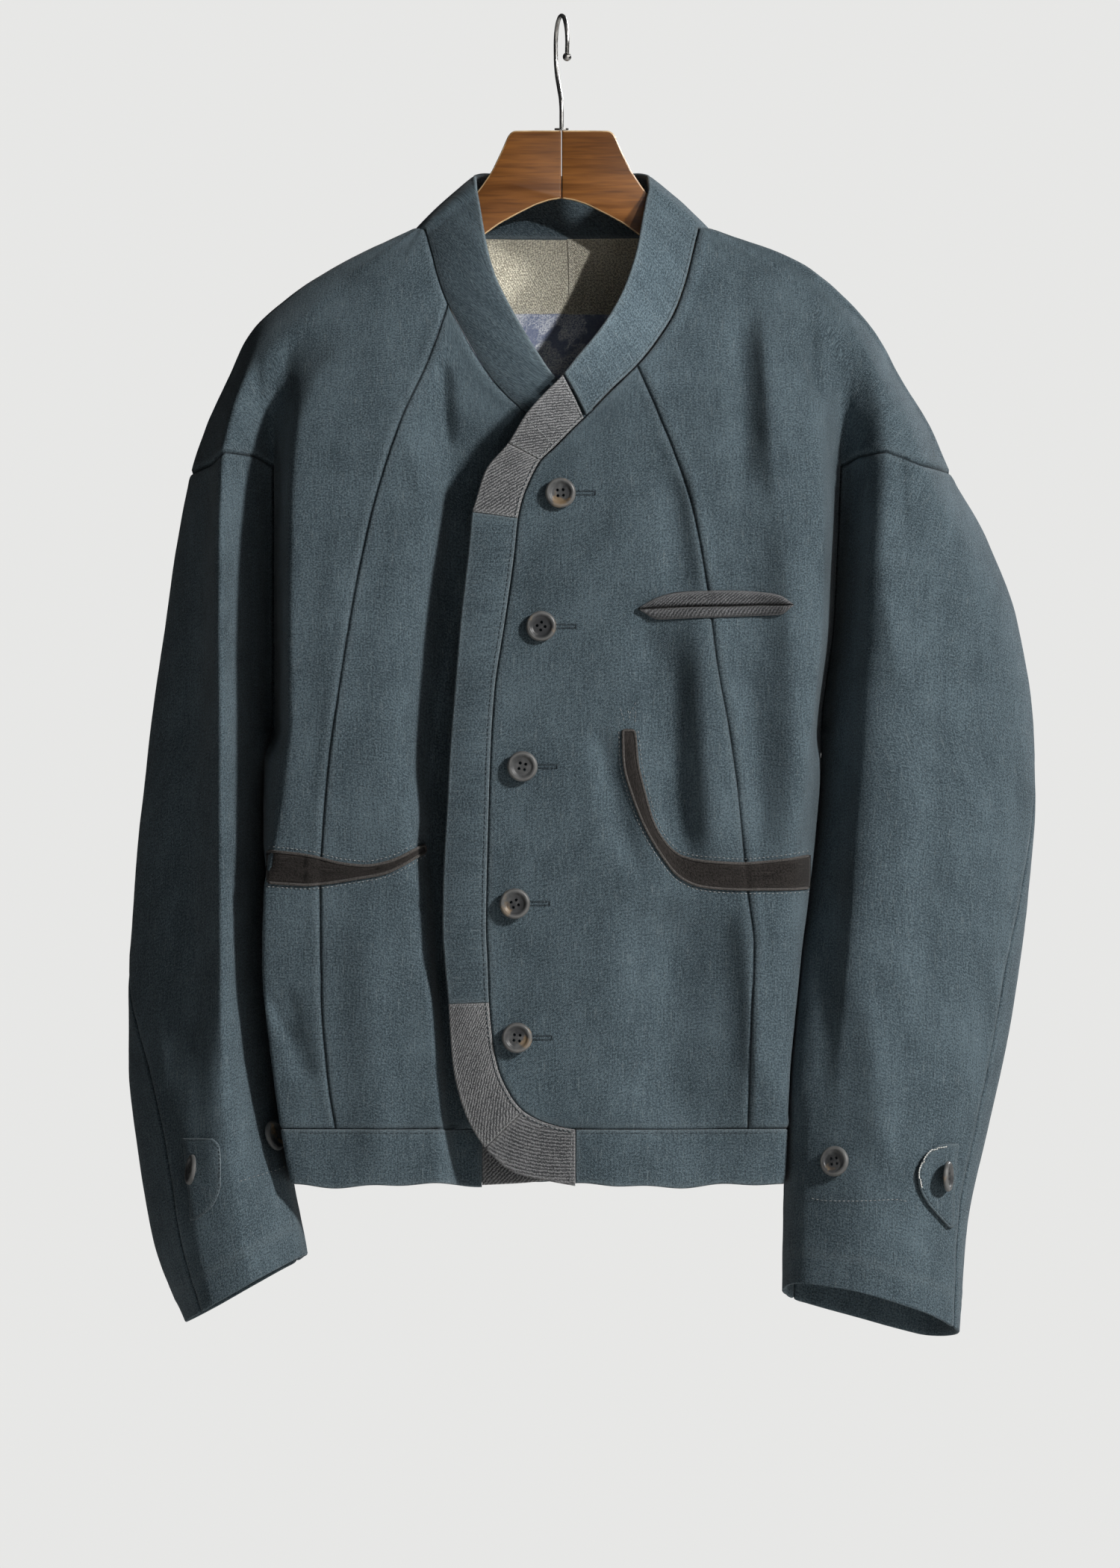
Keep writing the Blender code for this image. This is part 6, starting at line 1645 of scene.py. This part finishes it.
BUTTONHOLE = 23.0        # length of each hole, from the button's middle outward
for number in range(1, 6):
    middle = seats[f"front_button_{number}"][0]
    x = np.linspace(middle[0] - 1.0, middle[0] + BUTTONHOLE - 1.0, 24)
    for sign in (-1, 1):
        rows = [[(a, 0, middle[2] + sign * 0.35), (a + 0.15, 0, middle[2] + sign * 2.0)] for a in x]
        stitches("buttonhole_stitching", rows, fronts("left"), **HOLE_SIDE)
    end = [[(x[-1] + 0.9, 0, middle[2] - 1.9), (x[-1] + 0.9, 0, middle[2] + 1.9)]]
    stitches("buttonhole_stitching", end, fronts("left"), **HOLE_END)
sew("buttonhole_stitching")

# %% [markdown]
# ## Hanger

# %%
HANGER_DEPTH, WIRE = 10.0, 1.4
HANGER_TOP = [(0.2, -74.5), (20, -74.5), (32.5, -74.7), (35.2, -77.8), (39.4, -87.6), (45.8, -101), (54, -113),
              (62, -122.5), (76, -138), (100, -157), (130, -173), (160, -190), (185, -207), (195, -214)]
HANGER_LOW = [(198, -219), (195, -224), (187, -226), (160, -211), (130, -194), (100, -177), (75, -161),
              (52, -144), (41, -136), (28, -129), (17, -123.5), (8, -120.5), (0.2, -119.3)]
HOOK_TURN = math.radians(78)


def hanger_half(name, sign):
    """A flat half with rounded edges, pale at their chamfers as worn bare wood and as a painted highlight."""
    outline = np.array(HANGER_TOP + HANGER_LOW, float)
    fine = []
    for a, b in zip(outline, np.roll(outline, -1, 0)):
        n = max(1, int(np.linalg.norm(b - a) / 1.5))
        fine += [a + (b - a) * k / n for k in range(n)]
    fine = np.array(fine)
    inner = fine.copy()
    for _ in range(2):
        inner[1:-1] = (inner[:-2] + inner[2:] + 2 * inner[1:-1]) / 4
    keep = fine[:, 0] > 1
    fine[keep] = inner[keep]
    way = np.roll(fine, -1, 0) - np.roll(fine, 1, 0)
    way /= np.linalg.norm(way, axis=1, keepdims=True)
    inward = np.stack([way[:, 1], -way[:, 0]], 1)
    bm = bmesh.new()
    rings = []
    half = HANGER_DEPTH / 2
    # Each step is an inset, a depth and how pale its ring is painted; the chamfer rings are pale as worn wood and
    # as a painted highlight, but not at the middle joint.
    steps = [(1.0, half, 0.0), (0.5, half - 0.12, 1.0), (0.12, half - 0.5, 1.0), (0.0, half - 1.1, 0.2)]
    steps += [(a, -b, w) for a, b, w in steps[::-1]]
    wear = []
    for inset, y, w in steps:
        ring = fine + inward * inset
        ring[:, 0] = np.maximum(ring[:, 0], 0.2)
        rings.append([bm.verts.new((sign * p[0], y, p[1])) for p in ring])
        wear += list(w * (fine[:, 0] > 1))
    n = len(fine)
    for a, b in zip(rings, rings[1:]):
        for k in range(n):
            m = (k + 1) % n
            bm.faces.new([a[k], a[m], b[m], b[k]])
    bm.faces.new(rings[0][::-1])
    bm.faces.new(rings[-1])
    bmesh.ops.recalc_face_normals(bm, faces=bm.faces)
    mesh = bpy.data.meshes.new(name)
    bm.to_mesh(mesh)
    bm.free()
    points = np.array([v.co for v in mesh.vertices])
    faces = [list(f.vertices) for f in mesh.polygons]
    corners = [v for f in faces for v in f]
    coords = points[corners][:, [0, 2]] * MM
    piece = make(name, points, faces, coords, LOOKS["wood"], np.array(wear), (name,))
    piece.data.set_sharp_from_angle(angle=math.radians(60))


hanger_half("hanger_half_right", -1)
hanger_half("hanger_half_left", 1)
bend_r = 17.0 + WIRE
hook = [(0, -73.6), (0, -62), (-2.0, -54), (-8.0, -46), (-14.5, -37), (-18.0, -27)]
hook += [(-bend_r * math.cos(a), -17 + bend_r * math.sin(a)) for a in np.radians(np.arange(0, 181, 18))]
hook += [(bend_r - 0.4, -20.5), (bend_r - 0.9, -24.0)]
hook = pchip(np.arange(len(hook)), np.array(hook, float), np.linspace(0, len(hook) - 1, 120))
plane = np.array([math.cos(HOOK_TURN), -math.sin(HOOK_TURN), 0])
hook = hook[:, :1] * plane + hook[:, 1:] * np.array([0, 0, 1])
tube("hanger_hook", hook, WIRE, "steel_wire", sides=14)
# %% [markdown]
# ## Floor, light and camera
#
# The camera faces the jacket. The key light stands high on the viewer's right, and a narrow lamp lights
# the inside of the neck. The pale background is shown to the camera alone.

# %%
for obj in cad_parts.values():
    for slot in obj.material_slots:
        slot.material = LOOKS["steel_wire"]


FLOOR_Z, FLOOR_X, FLOOR_FRONT, FLOOR_BACK = -1.45, 3, -5, 2.4
corners = [(-FLOOR_X, FLOOR_FRONT), (FLOOR_X, FLOOR_FRONT), (FLOOR_X, FLOOR_BACK), (-FLOOR_X, FLOOR_BACK)]
floor_mesh = bpy.data.meshes.new("floor")
floor_mesh.from_pydata([(x, y, FLOOR_Z) for x, y in corners], [], [(0, 1, 2, 3)])
pale, t, shader = new_material("pale_floor")
shader.inputs["Base Color"].default_value = (0.72, 0.71, 0.69, 1)
shader.inputs["Roughness"].default_value = 0.9
shader.inputs["Emission Color"].default_value = (0.72, 0.72, 0.71, 1)
glow = t.math("MULTIPLY", t.node("LightPath").outputs["Is Camera Ray"], 0.5)
t.links.new(glow, shader.inputs["Emission Strength"])
floor_mesh.materials.append(pale)
floor = bpy.data.objects.new("floor", floor_mesh)
bpy.context.scene.collection.objects.link(floor)

world = bpy.data.worlds.new("studio")
bpy.context.scene.world = world
world.use_nodes = True
t = Tree(world.node_tree)
background = world.node_tree.nodes["Background"]
seen = t.node("LightPath").outputs["Is Camera Ray"]
t.links.new(t.mix(seen, (0.018, 0.019, 0.020), (0.80, 0.80, 0.79)), background.inputs["Color"])
background.inputs["Strength"].default_value = 1.0


def area(name, place, target, size, power, colour=(1, 1, 1)):
    data = bpy.data.lights.new(name, "AREA")
    data.shape, data.size, data.energy, data.color = "DISK", size, power, colour
    light = bpy.data.objects.new(name, data)
    light.location = place
    light.rotation_euler = (Vector(target) - Vector(place)).to_track_quat("-Z", "Y").to_euler()
    bpy.context.scene.collection.objects.link(light)


area("key", (4.0, -3.40, 2.07), (0, -0.05, -0.45), 0.72, 318, (1.0, 0.985, 0.96))
area("fill", (0.6, -3.2, 0.2), (0, 0, -0.5), 1.6, 3, (0.95, 0.97, 1.0))
beam = bpy.data.lights.new("neck_beam", "SPOT")
beam.energy, beam.spot_size = 520, math.radians(2.6)
beam.spot_blend, beam.shadow_soft_size = 1.0, 0.07
lamp = bpy.data.objects.new("neck_beam", beam)
lamp.location = (1.33, -2.52, 0.60)
lamp.rotation_euler = (Vector((-0.026, 0.038, -0.203)) - lamp.location).to_track_quat("-Z", "Y").to_euler()
bpy.context.scene.collection.objects.link(lamp)
area("back_rim", (1.5, 2.0, 0.7), (0, 0, -0.4), 0.6, 45, (0.95, 0.97, 1.0))

DISTANCE, AIM = 12.0, Vector((-0.001, -0.05, -0.505))
camera = bpy.data.objects.new("camera", bpy.data.cameras.new("camera"))
camera.data.lens = 36.0 * DISTANCE / 1.029
camera.data.clip_start, camera.data.clip_end = 0.05, 50
camera.location = AIM + Vector((0, -DISTANCE, 0))
camera.rotation_euler = (math.radians(90), 0, 0)
bpy.context.scene.collection.objects.link(camera)
bpy.context.scene.camera = camera
bpy.context.scene.view_settings.view_transform = "Standard"
